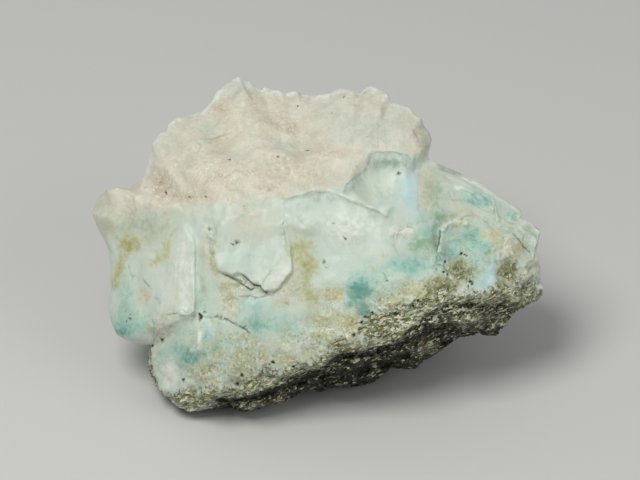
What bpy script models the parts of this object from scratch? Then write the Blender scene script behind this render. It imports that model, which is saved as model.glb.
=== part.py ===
"""Rough larimar: one broken lump of blue pectolite, 80 mm wide, as a hand specimen.

A cream sugary cap grows over the pale blue band, and a rind of dark, layered matrix is
left below it. The whole is one piece of rock, so it is one object, rough_larimar. It
lies on a small flat under its lower left, and its right end overhangs. Run this file
with blender --background --python part.py, or from the Text Editor.

The stone is laid out in millimetres on its broad broken face: u runs to the right along
the face, v up it and w out of it. Once it lies on its base, that face leans back.
"""

import math

import bmesh
import bpy
import numpy as np
from mathutils import Vector, kdtree, noise

NAME = "rough_larimar"
MM = 0.001

# How the stone lies, and the middle from which its surface is measured.
FACE_LEAN = math.radians(37.0)
MIDDLE = np.array((0.0, -1.8, -6.0))
BASE_DROP = 21.8  # from the middle straight down to the flat
BASE_SNAP = 0.2  # corners of the thinned mesh this near the flat are set on it

# Mesh: a fine ball is shaped first, then thinned to about this share of its faces.
BALL_LEVELS = 7
KEPT_SHARE = 0.114

# Broken faces of the block: the way each one looks (u, v, w) and its distance from the middle.
FACETS = {
    "broad front": ((0.00, 0.05, 1.00), 17.9),
    "cap slope": ((0.00, 0.69, 0.73), 19.6),
    "left face": ((-0.55, 0.05, 0.83), 25.4),
    "right slope": ((0.38, 0.30, 0.87), 22.4),
    "lower front": ((0.00, -0.35, 0.94), 21.3),
    "undercut": ((0.28, -0.85, 0.45), 24.6),
    "rear undercut": ((0.22, -0.93, -0.30), 24.4),
    "right end": ((0.93, 0.10, -0.33), 38.0),
    "left end": ((-0.97, 0.05, -0.22), 37.5),
    "top": ((0.00, 0.90, -0.43), 27.4),
    "upper right": ((0.50, 0.76, -0.40), 23.5),
    "upper left": ((-0.75, 0.60, -0.28), 33.0),
    "back": ((0.05, 0.55, -0.83), 21.5),
    "back left": ((-0.56, 0.18, -0.81), 24.0),
    "back right": ((0.60, 0.12, -0.79), 25.0),
    "back foot": ((0.05, -0.28, -0.96), 19.5),
    "right heel": ((0.45, -0.72, -0.52), 24.5),
}
CRISPNESS = 16.0  # higher makes sharper edges between the broken faces
CHIP_EDGE = 1.0

# Outline of the stone seen square to its face, clockwise from the knob at the left.
OUTLINE = (
    (-40.7, 4.8), (-39.8, 7.3), (-38.2, 8.9), (-36.6, 9.4), (-34.2, 9.6), (-31.6, 11.1),
    (-30.8, 14.4), (-30.0, 17.0), (-28.3, 19.3), (-27.0, 20.8), (-25.4, 22.0), (-21.3, 22.9),
    (-19.6, 24.5), (-18.5, 26.4), (-16.6, 28.0), (-14.6, 29.4), (-12.5, 28.3), (-10.3, 26.9),
    (-6.2, 26.3), (-4.2, 26.7), (-1.9, 25.8), (1.3, 26.1), (3.7, 27.1), (7.1, 26.2),
    (9.0, 27.5), (12.1, 26.1), (12.9, 24.6), (15.8, 23.7), (18.3, 21.6), (19.5, 19.3),
    (20.0, 17.8), (19.4, 14.5), (22.2, 13.3), (27.8, 10.8), (32.0, 7.9), (36.0, 5.2),
    (37.9, 3.0), (39.4, 1.6), (38.6, -2.1), (39.3, -6.2), (39.8, -8.8), (38.8, -10.9),
    (34.5, -13.3), (31.7, -17.1), (28.4, -17.0), (24.9, -17.4), (20.7, -20.4), (16.9, -23.1),
    (12.4, -23.2), (8.0, -25.9), (2.4, -26.3), (0.0, -27.2), (-2.4, -26.5), (-6.5, -29.1),
    (-13.9, -30.8), (-16.1, -29.9), (-19.6, -30.1), (-23.2, -30.8), (-27.3, -28.3),
    (-30.0, -24.7), (-30.8, -20.9), (-30.6, -18.8), (-36.3, -16.8), (-37.7, -12.4),
    (-37.4, -5.1), (-38.5, -0.1),
)

# Bedding: the layers run across the stone square to this direction. The cap starts above
# CAP_LEVEL and the matrix rind below RIND_LEVEL, both measured along it.
BEDDING = np.array((-0.33, 0.87, 0.37))
CAP_LEVEL = 13.0
RIND_LEVEL = -16.0

# How each zone is broken up: size and height of its mounds, then of its chips.
ROUGHNESS = {
    "cap": ((9.0, 0.9), (6.0, 0.6)),
    "band": ((12.0, 0.45), (10.0, 0.45)),
    "rind": ((6.0, 0.9), (4.5, 0.8)),
}
REAR_LEVEL = -10.0  # w behind which the band is REAR_ROUGHER times as rough
REAR_ROUGHER = 3.0
LAYER = 4.3  # thickness of the layers that the rind and the back break along
LEDGE = 1.7
LAYER_WAVE = 2.2

# Scars where a chip sprang off: the ball that fits the scar, as its centre and radius.
SCARS = {
    "under the right lobe": ((11.3, 13.2, 13.2), 7.8),
    "over the fan": ((4.0, -1.5, 62.0), 50.9),
    "right pocket": ((27.3, 2.2, 14.2), 8.7),
    "back hollow": ((-7.0, 14.0, -50.0), 30.5),
    "back right hollow": ((28.0, 2.0, -42.0), 25.5),
    "back left hollow": ((-36.0, -6.0, -34.0), 22.0),
    "back foot hollow": ((-8.0, -14.0, -50.0), 26.0),
    "right end hollow": ((56.0, 6.0, -6.0), 19.5),
    "heel hollow": ((18.0, -36.0, -14.0), 15.5),
}

# Swellings: centre on the stone, reach and height.
SWELLINGS = {
    "left knob": ((-38.5, 5.0, -3.0), 5.0, 2.2),
    "right lobe": ((11.0, 19.0, 2.0), 8.0, 3.2),
    "peak": ((-14.5, 25.0, -4.0), 5.5, 1.6),
    "foot": ((-19.0, -24.0, 6.0), 9.0, 2.4),
    "cap brow": ((-14.0, 11.0, 8.0), 9.0, 0.9),
    "matrix shoulder": ((10.0, -17.5, 9.0), 7.0, 1.3),
    "right crust": ((33.0, -7.0, 4.0), 6.0, 1.4),
    "back boss": ((8.0, -2.0, -27.0), 10.0, 2.2),
}

# Sheets and ledges on the broad face: the broken edge, the points that close the region
# behind it, how far the edge stands out, and how far behind it the rise fades.
TERRACES = {
    "plate": (
        (
            (-18.2, 2.1), (-19.1, -0.7), (-18.8, -3.6), (-17.9, -5.4), (-15.9, -6.4), (-13.8, -5.9),
            (-11.6, -7.9), (-10.0, -9.2), (-7.5, -8.9), (-6.1, -7.0), (-4.6, -5.6), (-4.8, -3.4),
        ),
        ((-6.0, 4.0), (-12.0, 8.0), (-16.0, 7.0)), 1.3, 6.0,
    ),
    "over the fan": (
        ((-6.2, 7.1), (-1.4, 8.5), (2.1, 8.4), (4.1, 7.5), (9.0, 5.4), (12.0, 3.9)),
        ((14.0, 8.0), (0.0, 16.0), (-12.0, 14.0)), 0.8, 4.0,
    ),
    "ridge": (
        ((-22.3, 0.5), (-22.0, -8.0), (-22.0, -13.0), (-25.0, -13.4)),
        ((-31.0, -13.0), (-31.0, 3.0), (-25.0, 4.0)), 1.1, 3.5,
    ),
    "left face": (
        ((-40.0, -16.5), (-34.0, -17.6), (-30.6, -18.4), (-27.0, -15.5), (-22.0, -13.2)),
        ((-20.0, -6.0), (-30.0, -3.0), (-40.0, -5.0)), 1.0, 5.0,
    ),
    "over the rind": (
        (
            (-6.1, -25.0), (0.2, -22.3), (3.6, -20.2), (10.4, -19.3), (14.3, -17.7), (21.6, -11.4),
            (30.5, -11.1), (39.0, -9.5),
        ),
        ((42.0, 4.0), (10.0, -4.0), (-8.0, -16.0)), 1.2, 5.0,
    ),
}


def smooth(value):
    """An even ramp from 0 to 1 as the value goes from 0 to 1."""
    value = np.clip(value, 0.0, 1.0)
    return value * value * (3.0 - 2.0 * value)


def unit(vectors):
    return vectors / np.linalg.norm(vectors, axis=-1, keepdims=True)


def fracture_block(ways):
    """Points of the block that the broken faces close, one along each way from the middle."""
    nearness = np.zeros(len(ways))
    for normal, distance in FACETS.values():
        facing = np.clip(ways @ unit(np.array(normal)), 0.0, None) / distance
        nearness += facing ** CRISPNESS
    return MIDDLE + ways / (nearness ** (1.0 / CRISPNESS))[:, None]


def cut_scars(points):
    """Pulls the points that lie in a scar's ball back to its wall, towards the middle."""
    for centre, radius in SCARS.values():
        ways = unit(points - MIDDLE)
        far = np.linalg.norm(points - MIDDLE, axis=1)
        offset = np.array(centre) - MIDDLE
        along = ways @ offset
        inside = along ** 2 - offset @ offset + radius ** 2
        wall = along - np.sqrt(np.clip(inside, 0.0, None))
        cut = (inside > 0.0) & (wall > 0.0) & (wall < far)
        points = np.where(cut[:, None], MIDDLE + ways * wall[:, None], points)
    return points


def add_swellings(points):
    ways = unit(points - MIDDLE)
    for centre, reach, height in SWELLINGS.values():
        away = np.linalg.norm(points - np.array(centre), axis=1) / reach
        points = points + ways * (height * np.exp(-(away ** 2)))[:, None]
    return points


def chips(points, size, seed):
    """Broken facets: each cell of about this size tilts its own way, and CHIP_EDGE eases its rim."""
    draw = np.random.default_rng(seed)
    low, high = points.min(axis=0) - size, points.max(axis=0) + size
    count = int(np.prod((high - low) / size))
    cells = draw.uniform(low, high, (count, 3))
    tilts = draw.normal(0.0, 0.6, (count, 3))
    steps = draw.uniform(-0.5, 0.5, count)
    tree = kdtree.KDTree(count)
    for index, place in enumerate(cells):
        tree.insert(Vector(place), index)
    tree.balance()
    found = [tree.find_n(Vector(point), 2) for point in points]
    gap = np.array([[hit[2] for hit in pair] for pair in found])
    near, next_near = np.array([[hit[1] for hit in pair] for pair in found]).T
    share = smooth(0.5 + (gap[:, 1] - gap[:, 0]) / (2.0 * CHIP_EDGE))

    def height(cell):
        return steps[cell] + np.einsum("ij,ij->i", points - cells[cell], tilts[cell]) / size

    return share * height(near) + (1.0 - share) * height(next_near)


def mounds(points, size, offset):
    """Soft uneven ground with bumps of about this size. Values run from about -1 to 1."""
    shift = Vector((offset, 0.0, 0.0))
    return np.array([noise.fractal(Vector(point) / size + shift, 0.6, 2.1, 3) for point in points])


def ledges(points, height):
    """Steps where the layers break off, coming and going along the stone."""
    layers = (height + LAYER_WAVE * mounds(points, 13.0, 31.0)) / LAYER
    strength = smooth(0.6 + mounds(points, 11.0, 43.0))
    return LEDGE * (layers - np.floor(layers) - 0.5) * strength


def roughen(points):
    """Breaks up the faces: mounds on the cap, shallow chips on the band, layered lumps on the rind."""
    height = points @ BEDDING
    rear = smooth((REAR_LEVEL - points[:, 2]) / 12.0 + 0.5)
    cap = smooth((height - CAP_LEVEL) / 8.0 + 0.5)
    rind = smooth((RIND_LEVEL - height) / 3.0 + 0.5)
    band = (1.0 - np.maximum(cap, rind)) * (1.0 + (REAR_ROUGHER - 1.0) * rear)
    relief = ledges(points, height) * np.maximum(rind, 0.7 * rear)
    for number, (zone, share) in enumerate((("cap", cap), ("band", band), ("rind", rind))):
        (mound, mound_height), (chip, chip_height) = ROUGHNESS[zone]
        relief += share * mound_height * mounds(points, mound, 3.0 + 2.0 * number)
        relief += share * chip_height * chips(points, chip, 11 + number)
    return points + unit(points - MIDDLE) * relief[:, None]


def fit_outline(points):
    """Moves the points along the face, more near the rim, until the stone's edge is the outline."""
    turns = 360
    flat = points[:, :2] - MIDDLE[:2]
    angle = np.arctan2(flat[:, 1], flat[:, 0])
    radius = np.linalg.norm(flat, axis=1)
    slot = ((angle / (2.0 * math.pi)) % 1.0 * turns).astype(int) % turns
    rim = np.zeros(turns)
    np.maximum.at(rim, slot, radius)
    rim = np.maximum(rim, np.maximum(np.roll(rim, 1), np.roll(rim, -1)) * 0.985)
    middles = (np.arange(turns) + 0.5) / turns * 2.0 * math.pi - math.pi
    rim_at = np.interp(angle, middles, np.roll(rim, turns // 2), period=2.0 * math.pi)
    corners = np.array(OUTLINE) - MIDDLE[:2]
    corner_angle = np.arctan2(corners[:, 1], corners[:, 0])
    order = np.argsort(corner_angle)
    wanted = np.interp(
        angle, corner_angle[order], np.linalg.norm(corners, axis=1)[order], period=2.0 * math.pi
    )
    share = smooth((radius / rim_at - 0.3) / 0.7)
    scale = 1.0 + (wanted / rim_at - 1.0) * share
    moved = points.copy()
    moved[:, :2] = MIDDLE[:2] + flat * scale[:, None]
    return moved


def distance_to(line, u, v):
    """Distance from each place on the face to an open line through the given points."""
    nearest = np.full(len(u), np.inf)
    for (u0, v0), (u1, v1) in zip(line, line[1:]):
        length2 = (u1 - u0) ** 2 + (v1 - v0) ** 2
        share = np.clip(((u - u0) * (u1 - u0) + (v - v0) * (v1 - v0)) / length2, 0.0, 1.0)
        gap = np.hypot(u - u0 - share * (u1 - u0), v - v0 - share * (v1 - v0))
        nearest = np.minimum(nearest, gap)
    return nearest


def within(region, u, v):
    """True for each place on the face that lies in the closed region."""
    inside = np.zeros(len(u), dtype=bool)
    for (u0, v0), (u1, v1) in zip(region, region[1:] + region[:1]):
        if v0 != v1:
            crosses = (v0 > v) != (v1 > v)
            inside ^= crosses & (u < u0 + (v - v0) / (v1 - v0) * (u1 - u0))
    return inside


def raise_terraces(points):
    """Raises the sheets and ledges that stand out on the broad face, most along their broken edges."""
    u, v = points[:, 0], points[:, 1]
    front = smooth((unit(points - MIDDLE)[:, 2] - 0.1) / 0.3)
    for brink, rest, rise, reach in TERRACES.values():
        lift = rise * np.exp(-((distance_to(brink, u, v) / reach) ** 2))
        points[:, 2] += np.where(within(brink + rest, u, v), lift, 0.0) * front


def stand_on_base(points):
    """Turns the face frame to the world's, and flattens what would reach below the base."""
    u, v, w = (points - MIDDLE).T
    lean_sin, lean_cos = math.sin(FACE_LEAN), math.cos(FACE_LEAN)
    world = np.stack((u, v * lean_sin - w * lean_cos, v * lean_cos + w * lean_sin), axis=1)
    below = world[:, 2] < -BASE_DROP
    world[below] *= (-BASE_DROP / world[below, 2])[:, None]
    world[below, 2] = -BASE_DROP
    low, high = world.min(axis=0), world.max(axis=0)
    return world - ((low[0] + high[0]) / 2.0, (low[1] + high[1]) / 2.0, low[2])


def stone_material():
    material = bpy.data.materials.new("larimar")
    material.use_nodes = True
    shader = material.node_tree.nodes["Principled BSDF"]
    shader.inputs["Base Color"].default_value = (0.55, 0.65, 0.56, 1.0)
    shader.inputs["Roughness"].default_value = 0.5
    shader.inputs["Metallic"].default_value = 0.0
    return material


def make_stone():
    shape = bmesh.new()
    bmesh.ops.create_icosphere(shape, subdivisions=BALL_LEVELS, radius=1.0)
    ways = unit(np.array([vertex.co for vertex in shape.verts]))
    points = fracture_block(ways)
    points = cut_scars(points)
    points = add_swellings(points)
    points = roughen(points)
    points = fit_outline(points)
    raise_terraces(points)
    points = stand_on_base(points) * MM
    for vertex, place in zip(shape.verts, points):
        vertex.co = place
    mesh = bpy.data.meshes.new(NAME)
    shape.to_mesh(mesh)
    shape.free()
    mesh.materials.append(stone_material())
    stone = bpy.data.objects.new(NAME, mesh)
    bpy.context.scene.collection.objects.link(stone)
    thin_out(stone)
    return stone


def thin_out(stone):
    """Merges faces where the stone is smooth, and sets the base's corners back on its flat."""
    thin = stone.modifiers.new("thin", "DECIMATE")
    thin.ratio = KEPT_SHARE
    graph = bpy.context.evaluated_depsgraph_get()
    fine = stone.data
    stone.data = bpy.data.meshes.new_from_object(stone.evaluated_get(graph))
    stone.modifiers.remove(thin)
    bpy.data.meshes.remove(fine)
    for vertex in stone.data.vertices:
        if vertex.co.z < BASE_SNAP * MM:
            vertex.co.z = 0.0


for old in list(bpy.data.objects):
    bpy.data.objects.remove(old, do_unlink=True)
make_stone()
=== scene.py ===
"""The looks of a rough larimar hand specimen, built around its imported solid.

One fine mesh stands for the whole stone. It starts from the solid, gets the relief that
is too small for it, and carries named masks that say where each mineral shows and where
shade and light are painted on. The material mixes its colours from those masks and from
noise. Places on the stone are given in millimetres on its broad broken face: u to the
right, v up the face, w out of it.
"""

import collections
import math

import bmesh
import bpy
import numpy as np
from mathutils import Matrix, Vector, noise


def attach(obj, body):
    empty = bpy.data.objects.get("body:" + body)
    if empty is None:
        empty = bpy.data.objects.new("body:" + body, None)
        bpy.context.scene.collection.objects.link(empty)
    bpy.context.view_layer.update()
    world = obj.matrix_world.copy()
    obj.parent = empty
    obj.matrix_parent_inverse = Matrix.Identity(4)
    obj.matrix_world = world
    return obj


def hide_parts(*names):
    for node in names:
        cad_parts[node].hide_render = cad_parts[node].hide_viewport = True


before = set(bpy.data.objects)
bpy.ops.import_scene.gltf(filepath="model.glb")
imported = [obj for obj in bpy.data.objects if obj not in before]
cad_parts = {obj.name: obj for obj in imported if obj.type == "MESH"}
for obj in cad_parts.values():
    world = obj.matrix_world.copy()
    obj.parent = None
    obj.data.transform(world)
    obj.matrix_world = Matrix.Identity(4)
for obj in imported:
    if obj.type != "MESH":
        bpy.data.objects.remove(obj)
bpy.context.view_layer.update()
NODE = "rough_larimar"
MM = 0.001

# The face frame in the part's frame: its zero in millimetres, and how far the face leans back.
FACE_ZERO = np.array((0.433, -2.145, 26.848))
FACE_LEAN = math.radians(37.0)
LEAN_SIN = math.sin(FACE_LEAN)
LEAN_COS = math.cos(FACE_LEAN)
# The middle of the outline on the face, and the camera: its distance and its lens.
MIDDLE = np.array((0.0, -1.8, -6.0))
VIEW_DISTANCE = 900.0
FOCAL_LENGTH = 283.5
SENSOR_WIDTH = 36.0
# The direction across the beds of rock, and how far along it the cap and the rind begin on
# the sides and back.
BEDDING = np.array((-0.33, 0.87, 0.37))
CAP_LEVEL = 13.0
RIND_LEVEL = -16.0
# The layers that the rind breaks along: thickness, waviness and height of their ledges.
LAYER = 1.9
LAYER_WAVE = 1.2
LEDGE = 0.5

# The mesh, with its lengths in millimetres: the cell of the fine mesh, the rounds of easing
# that dissolve the solid's facets, the triangles that are kept, how near to drawn lines they
# are then split, once for each reach, and how near to the base a point is set on its flat.
VOXEL = 0.3
EASING = 9
TRIANGLES = 136000
SPLIT_REACHES = (0.6, 0.32)
BASE_SNAP = 0.12
# The outline is fitted in slots round the middle, and moves what lies beyond this share of
# the way out to the rim.
RIM_SLOTS = 720
RIM_START = 0.75
# How strongly the tones cover what is under them, and how strongly those of the rind do.
TONE_STRENGTH = 0.92
RIND_TONE_STRENGTH = 0.8

# Outline of the stone seen square to its face, clockwise from the knob at the left.
OUTLINE = (
    (-40.7, 4.8), (-39.8, 7.3), (-38.2, 8.9), (-36.6, 9.5), (-34.4, 9.2), (-31.6, 11.1), (-30.8, 13.3),
    (-30.8, 14.4), (-30, 16), (-30, 17.3), (-28.5, 19.2), (-27.5, 19.4), (-27, 20.7), (-25.6, 21.9),
    (-23.7, 22.2), (-21.3, 22.9), (-19.6, 24.5), (-18.5, 26.4), (-16.6, 28), (-14.6, 29.3),
    (-13.9, 28.6), (-12.5, 28.3), (-11.1, 27.2), (-10.3, 26.9), (-10.1, 27.3), (-7.6, 26.7),
    (-6.2, 26.2), (-4.2, 26.7), (-3.5, 26.1), (-1.9, 25.8), (1.3, 26.1), (3.7, 27.1), (6.3, 26.7),
    (7.1, 26.2), (7.7, 27), (9, 27.5), (10.6, 27), (12.1, 26.1), (12.7, 24.6), (14.8, 24.1),
    (15.8, 23.7), (17.3, 22.2), (18.2, 21.8), (18.5, 20.4), (19.5, 19.3), (20, 17.9), (19.5, 15.9),
    (19.5, 14.5), (22.2, 13.3), (24.9, 12), (27.8, 10.8), (30.2, 9.2), (32, 7.9), (34.3, 6.4), (36, 5.4),
    (36, 3.8), (37.9, 3), (39.4, 1.6), (39.1, -0.3), (38.6, -2.1), (39.4, -4.4), (39.3, -6.2),
    (39.8, -7.7), (39.7, -9.8), (38.8, -10.9), (37, -11.7), (34.5, -13.3), (34, -14.5), (32.4, -16),
    (31.7, -17.1), (28.4, -17), (24.9, -17.4), (23.1, -18.6), (20.7, -20.4), (18.6, -21.6),
    (16.9, -23.1), (13.3, -22.9), (12.4, -23.2), (9.8, -25.3), (8, -25.9), (5, -26.3), (2.4, -26.3),
    (0, -27.2), (-2.4, -26.5), (-4.6, -28.1), (-6.5, -29.1), (-9, -29.6), (-11.4, -30.3), (-13.9, -30.8),
    (-16.1, -29.9), (-19.6, -30.1), (-21.3, -30.6), (-23.2, -30.8), (-25.4, -29.9), (-27.3, -28.3),
    (-29.1, -26.5), (-30, -24.7), (-30.7, -22.8), (-30.8, -20.9), (-30.4, -19.1), (-31.1, -18.9),
    (-33.2, -18.3), (-35.1, -17.8), (-36.3, -16.8), (-37.3, -14.6), (-37.7, -12.4), (-37.3, -9.1),
    (-37.4, -5.1), (-37.7, -1.8), (-38.5, -0.1), (-39.6, 1.8), (-40.4, 3.8),
)

# Lines on the face. A brink stands out on the left of its way of travel.
CREAM_EDGE = (
    (-42, 3.6), (-37.5, 4.5), (-30.4, 5), (-20.5, 6.2), (-14.3, 6.6), (-6.2, 7.1), (-1.4, 8.6),
    (0.6, 9.2), (3.4, 9.4), (4.5, 9.8), (5.9, 10.9), (7.7, 12.3), (8.6, 15.2), (13.4, 15.7),
    (19.6, 14.6), (24, 14),
)
MATRIX_EDGE = (
    (-32, -31.5), (-22, -31.3), (-17.5, -28.6), (-11.6, -27.5), (-8.2, -26.2), (-6.1, -25),
    (-2.9, -23.8), (0.2, -22.3), (2.3, -21.4), (3.6, -20.2), (5.5, -19.8), (8, -19.8), (11.4, -18.4),
    (14.3, -16.8), (18.6, -13.3), (21.6, -11.6), (26.2, -11.1), (31.4, -11.6), (36.4, -10.9),
    (42, -10.4),
)
PLATE = (
    (-13.8, 4.6), (-16.1, 3.9), (-18.2, 2.1), (-19.1, -0.7), (-18.8, -3.6), (-17.9, -5.4), (-16.8, -6.2),
    (-15.9, -6.4), (-14.5, -6.2), (-13.8, -5.9), (-12.9, -6.8), (-11.6, -7.9), (-10.4, -8),
    (-10.3, -8.8), (-8.9, -9.6), (-8.4, -9.5), (-7.5, -8.9), (-6.6, -8), (-6.1, -7), (-5.8, -6.1),
    (-4.8, -6.1), (-4.5, -5.2), (-4.5, -3.8), (-5.4, -3.4),
)
PLATE_RIGHT = ((-5.7, -3.3), (-5.9, -0.4), (-6.2, 1.1), (-6.6, 2.7), (-5.9, 3.8))
FLAKE = ((-10.3, -8.2), (-9.6, -6.8), (-8.2, -4.6), (-6.6, -3.6), (-5.4, -3.4))
SECOND_SHEET = (
    (-16.2, -6.5), (-14.5, -7.3), (-13.4, -8), (-12.1, -8.7), (-11.3, -8.2),
)
FAN_EDGE = (
    (-6.2, 7.1), (-4.3, 7.7), (-1.4, 8.5), (0, 9.1), (2.1, 8.4), (4.1, 7.5), (6.6, 6.2), (9, 5.4),
    (11.3, 4.5), (12, 3.9),
)
RECESS_EDGE = (
    (5.7, 7.3), (4.1, 8.3), (4.5, 9.8), (5.9, 10.9), (7.7, 12.3), (8.2, 12.9), (8.6, 14.1), (8.4, 15.2),
    (10, 15.7), (13.4, 15.7), (17.3, 14.6),
)
RIDGE = (
    (-28, -13.6), (-25.7, -13.2), (-24.5, -13), (-22.5, -12.7), (-22, -13), (-22.1, -11.8), (-22.1, -8),
    (-22, -4.3), (-22.1, -1.2), (-22.3, 1.5),
)
LEFT_LEDGE = (
    (-40, -16.3), (-36.6, -16.9), (-34, -17.6), (-31.5, -18.3), (-30.2, -18.6), (-29.2, -17),
    (-28.2, -15.4),
)
WALL = ((17.3, 14.5), (17.3, 4.6), (16.8, 3.6), (16, 2.7))
CLIFF = ((30.6, 7.6), (30.9, 6.4), (31.4, 4.1), (31.2, 3))
RUBBLE_ARC = ((21, -1.8), (21.2, 0.7), (22.1, 2.5), (23.9, 3.4), (25.9, 2.9))
RIGHT_RIM = ((20.2, 13.4), (20.9, 13.2), (23.9, 12), (27.5, 10), (30.6, 7.8), (34, 5.4))
RIGHT_STREAK = ((19, 10.8), (23, 9.8), (26, 8.8), (29, 7), (31, 5.6))
CAP_CREASE = (
    (-27, 12.2), (-24.6, 14.4), (-22.2, 16.2), (-21.3, 17.5), (-19, 18), (-16, 18.6), (-13.5, 19.6),
)

# Broken edges: the line, how far the left side stands out, the width that the solid's own
# step has there, and the width of the edge itself.
BRINKS = (
    (PLATE[:5], 0.1, 1.5, 0.5), (PLATE[3:17], 0.52, 1.5, 0.2), (PLATE[15:], 0.45, 1.2, 0.2),
    (PLATE_RIGHT, 0.2, 0.8, 0.2), (FLAKE, 0.1, 0.6, 0.2), (SECOND_SHEET, 0.35, 0.7, 0.2),
    (FAN_EDGE, 0.3, 1.2, 0.2), (RECESS_EDGE, 0.2, 1.4, 0.4), (RIDGE[4:9], 0.25, 1.4, 0.35),
    (RIDGE[:5], 0.12, 1, 0.3), (LEFT_LEDGE, 0.6, 1.8, 0.4), (CLIFF, 0.5, 0.8, 0.2),
    (RIGHT_RIM, 0.25, 0.8, 0.25), (RIGHT_STREAK, 0.25, 0.9, 0.25), (CAP_CREASE, 0.3, 2.2, 0.7),
    (((31.4, 2.4), (33.4, 2.6), (35.6, 2.2), (37.6, 0.8)), 0.35, 0.8, 0.25),
    (((32.4, -1.6), (33.8, 0.4), (35.6, 0.2), (36.6, -1.6)), 0.3, 0.9, 0.3),
    (((36.4, -6.6), (38, -4), (38.4, -1.6)), 0.35, 0.9, 0.3),
    (((13.2, -1.4), (13.4, 0.2), (13.9, 1.6), (15.4, 2.2), (16.6, 2.4)), 0.25, 0.7, 0.2),
    (((-6.1, 6.6), (-5.8, 5.2), (-5.9, 3.8)), 0.15, 0.8, 0.3),
    (((22.6, -9.6), (26, -10.4), (30, -10.2), (31.4, -8.8)), 0.5, 1, 0.3),
    (((22, 11.4), (24.6, 10.6), (27.4, 9), (30, 7.6)), 0.2, 0.7, 0.2),
    (((23.8, 5.6), (23.8, 8.9), (26, 8.7), (28.6, 7.6)), 0.2, 0.9, 0.2),
    (((26, 8.4), (27.5, 7), (28.5, 6.6), (30, 6.3), (31, 5)), 0.25, 0.6, 0.15),
    (((24, 3.4), (26.4, 4.4), (28.8, 4.2), (30.6, 3.6)), 0.2, 0.8, 0.25),
    (((34, 5.2), (35.2, 4.4), (35.9, 3.9)), 0.25, 0.5, 0.2),
    (((38.3, -1.7), (38.7, -0.4), (38.4, 0.8), (37.5, 1.4), (36, 1.9)), 0.35, 0.6, 0.2),
    (((-34.6, 9), (-33.2, 7.6), (-32.8, 5.6), (-33.8, 3.6)), 0.4, 1.4, 0.6),
    (((-20, -20.5), (-18.4, -22.6), (-16.8, -24.6), (-15.2, -26.2)), 0.35, 0.9, 0.25),
    (((-10.6, -20.4), (-11.2, -18.6), (-12.2, -17)), 0.25, 0.8, 0.2),
)
# Low sides of brinks that are brought up again: the line, how far, and how far from the line.
FILLS = (
    (PLATE[14:], 0.5, 3.5), (PLATE[3:12], 0.35, 2.5), (RIDGE[:5], 0.8, 4.5), (FAN_EDGE, 0.25, 2.5),
)
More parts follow.
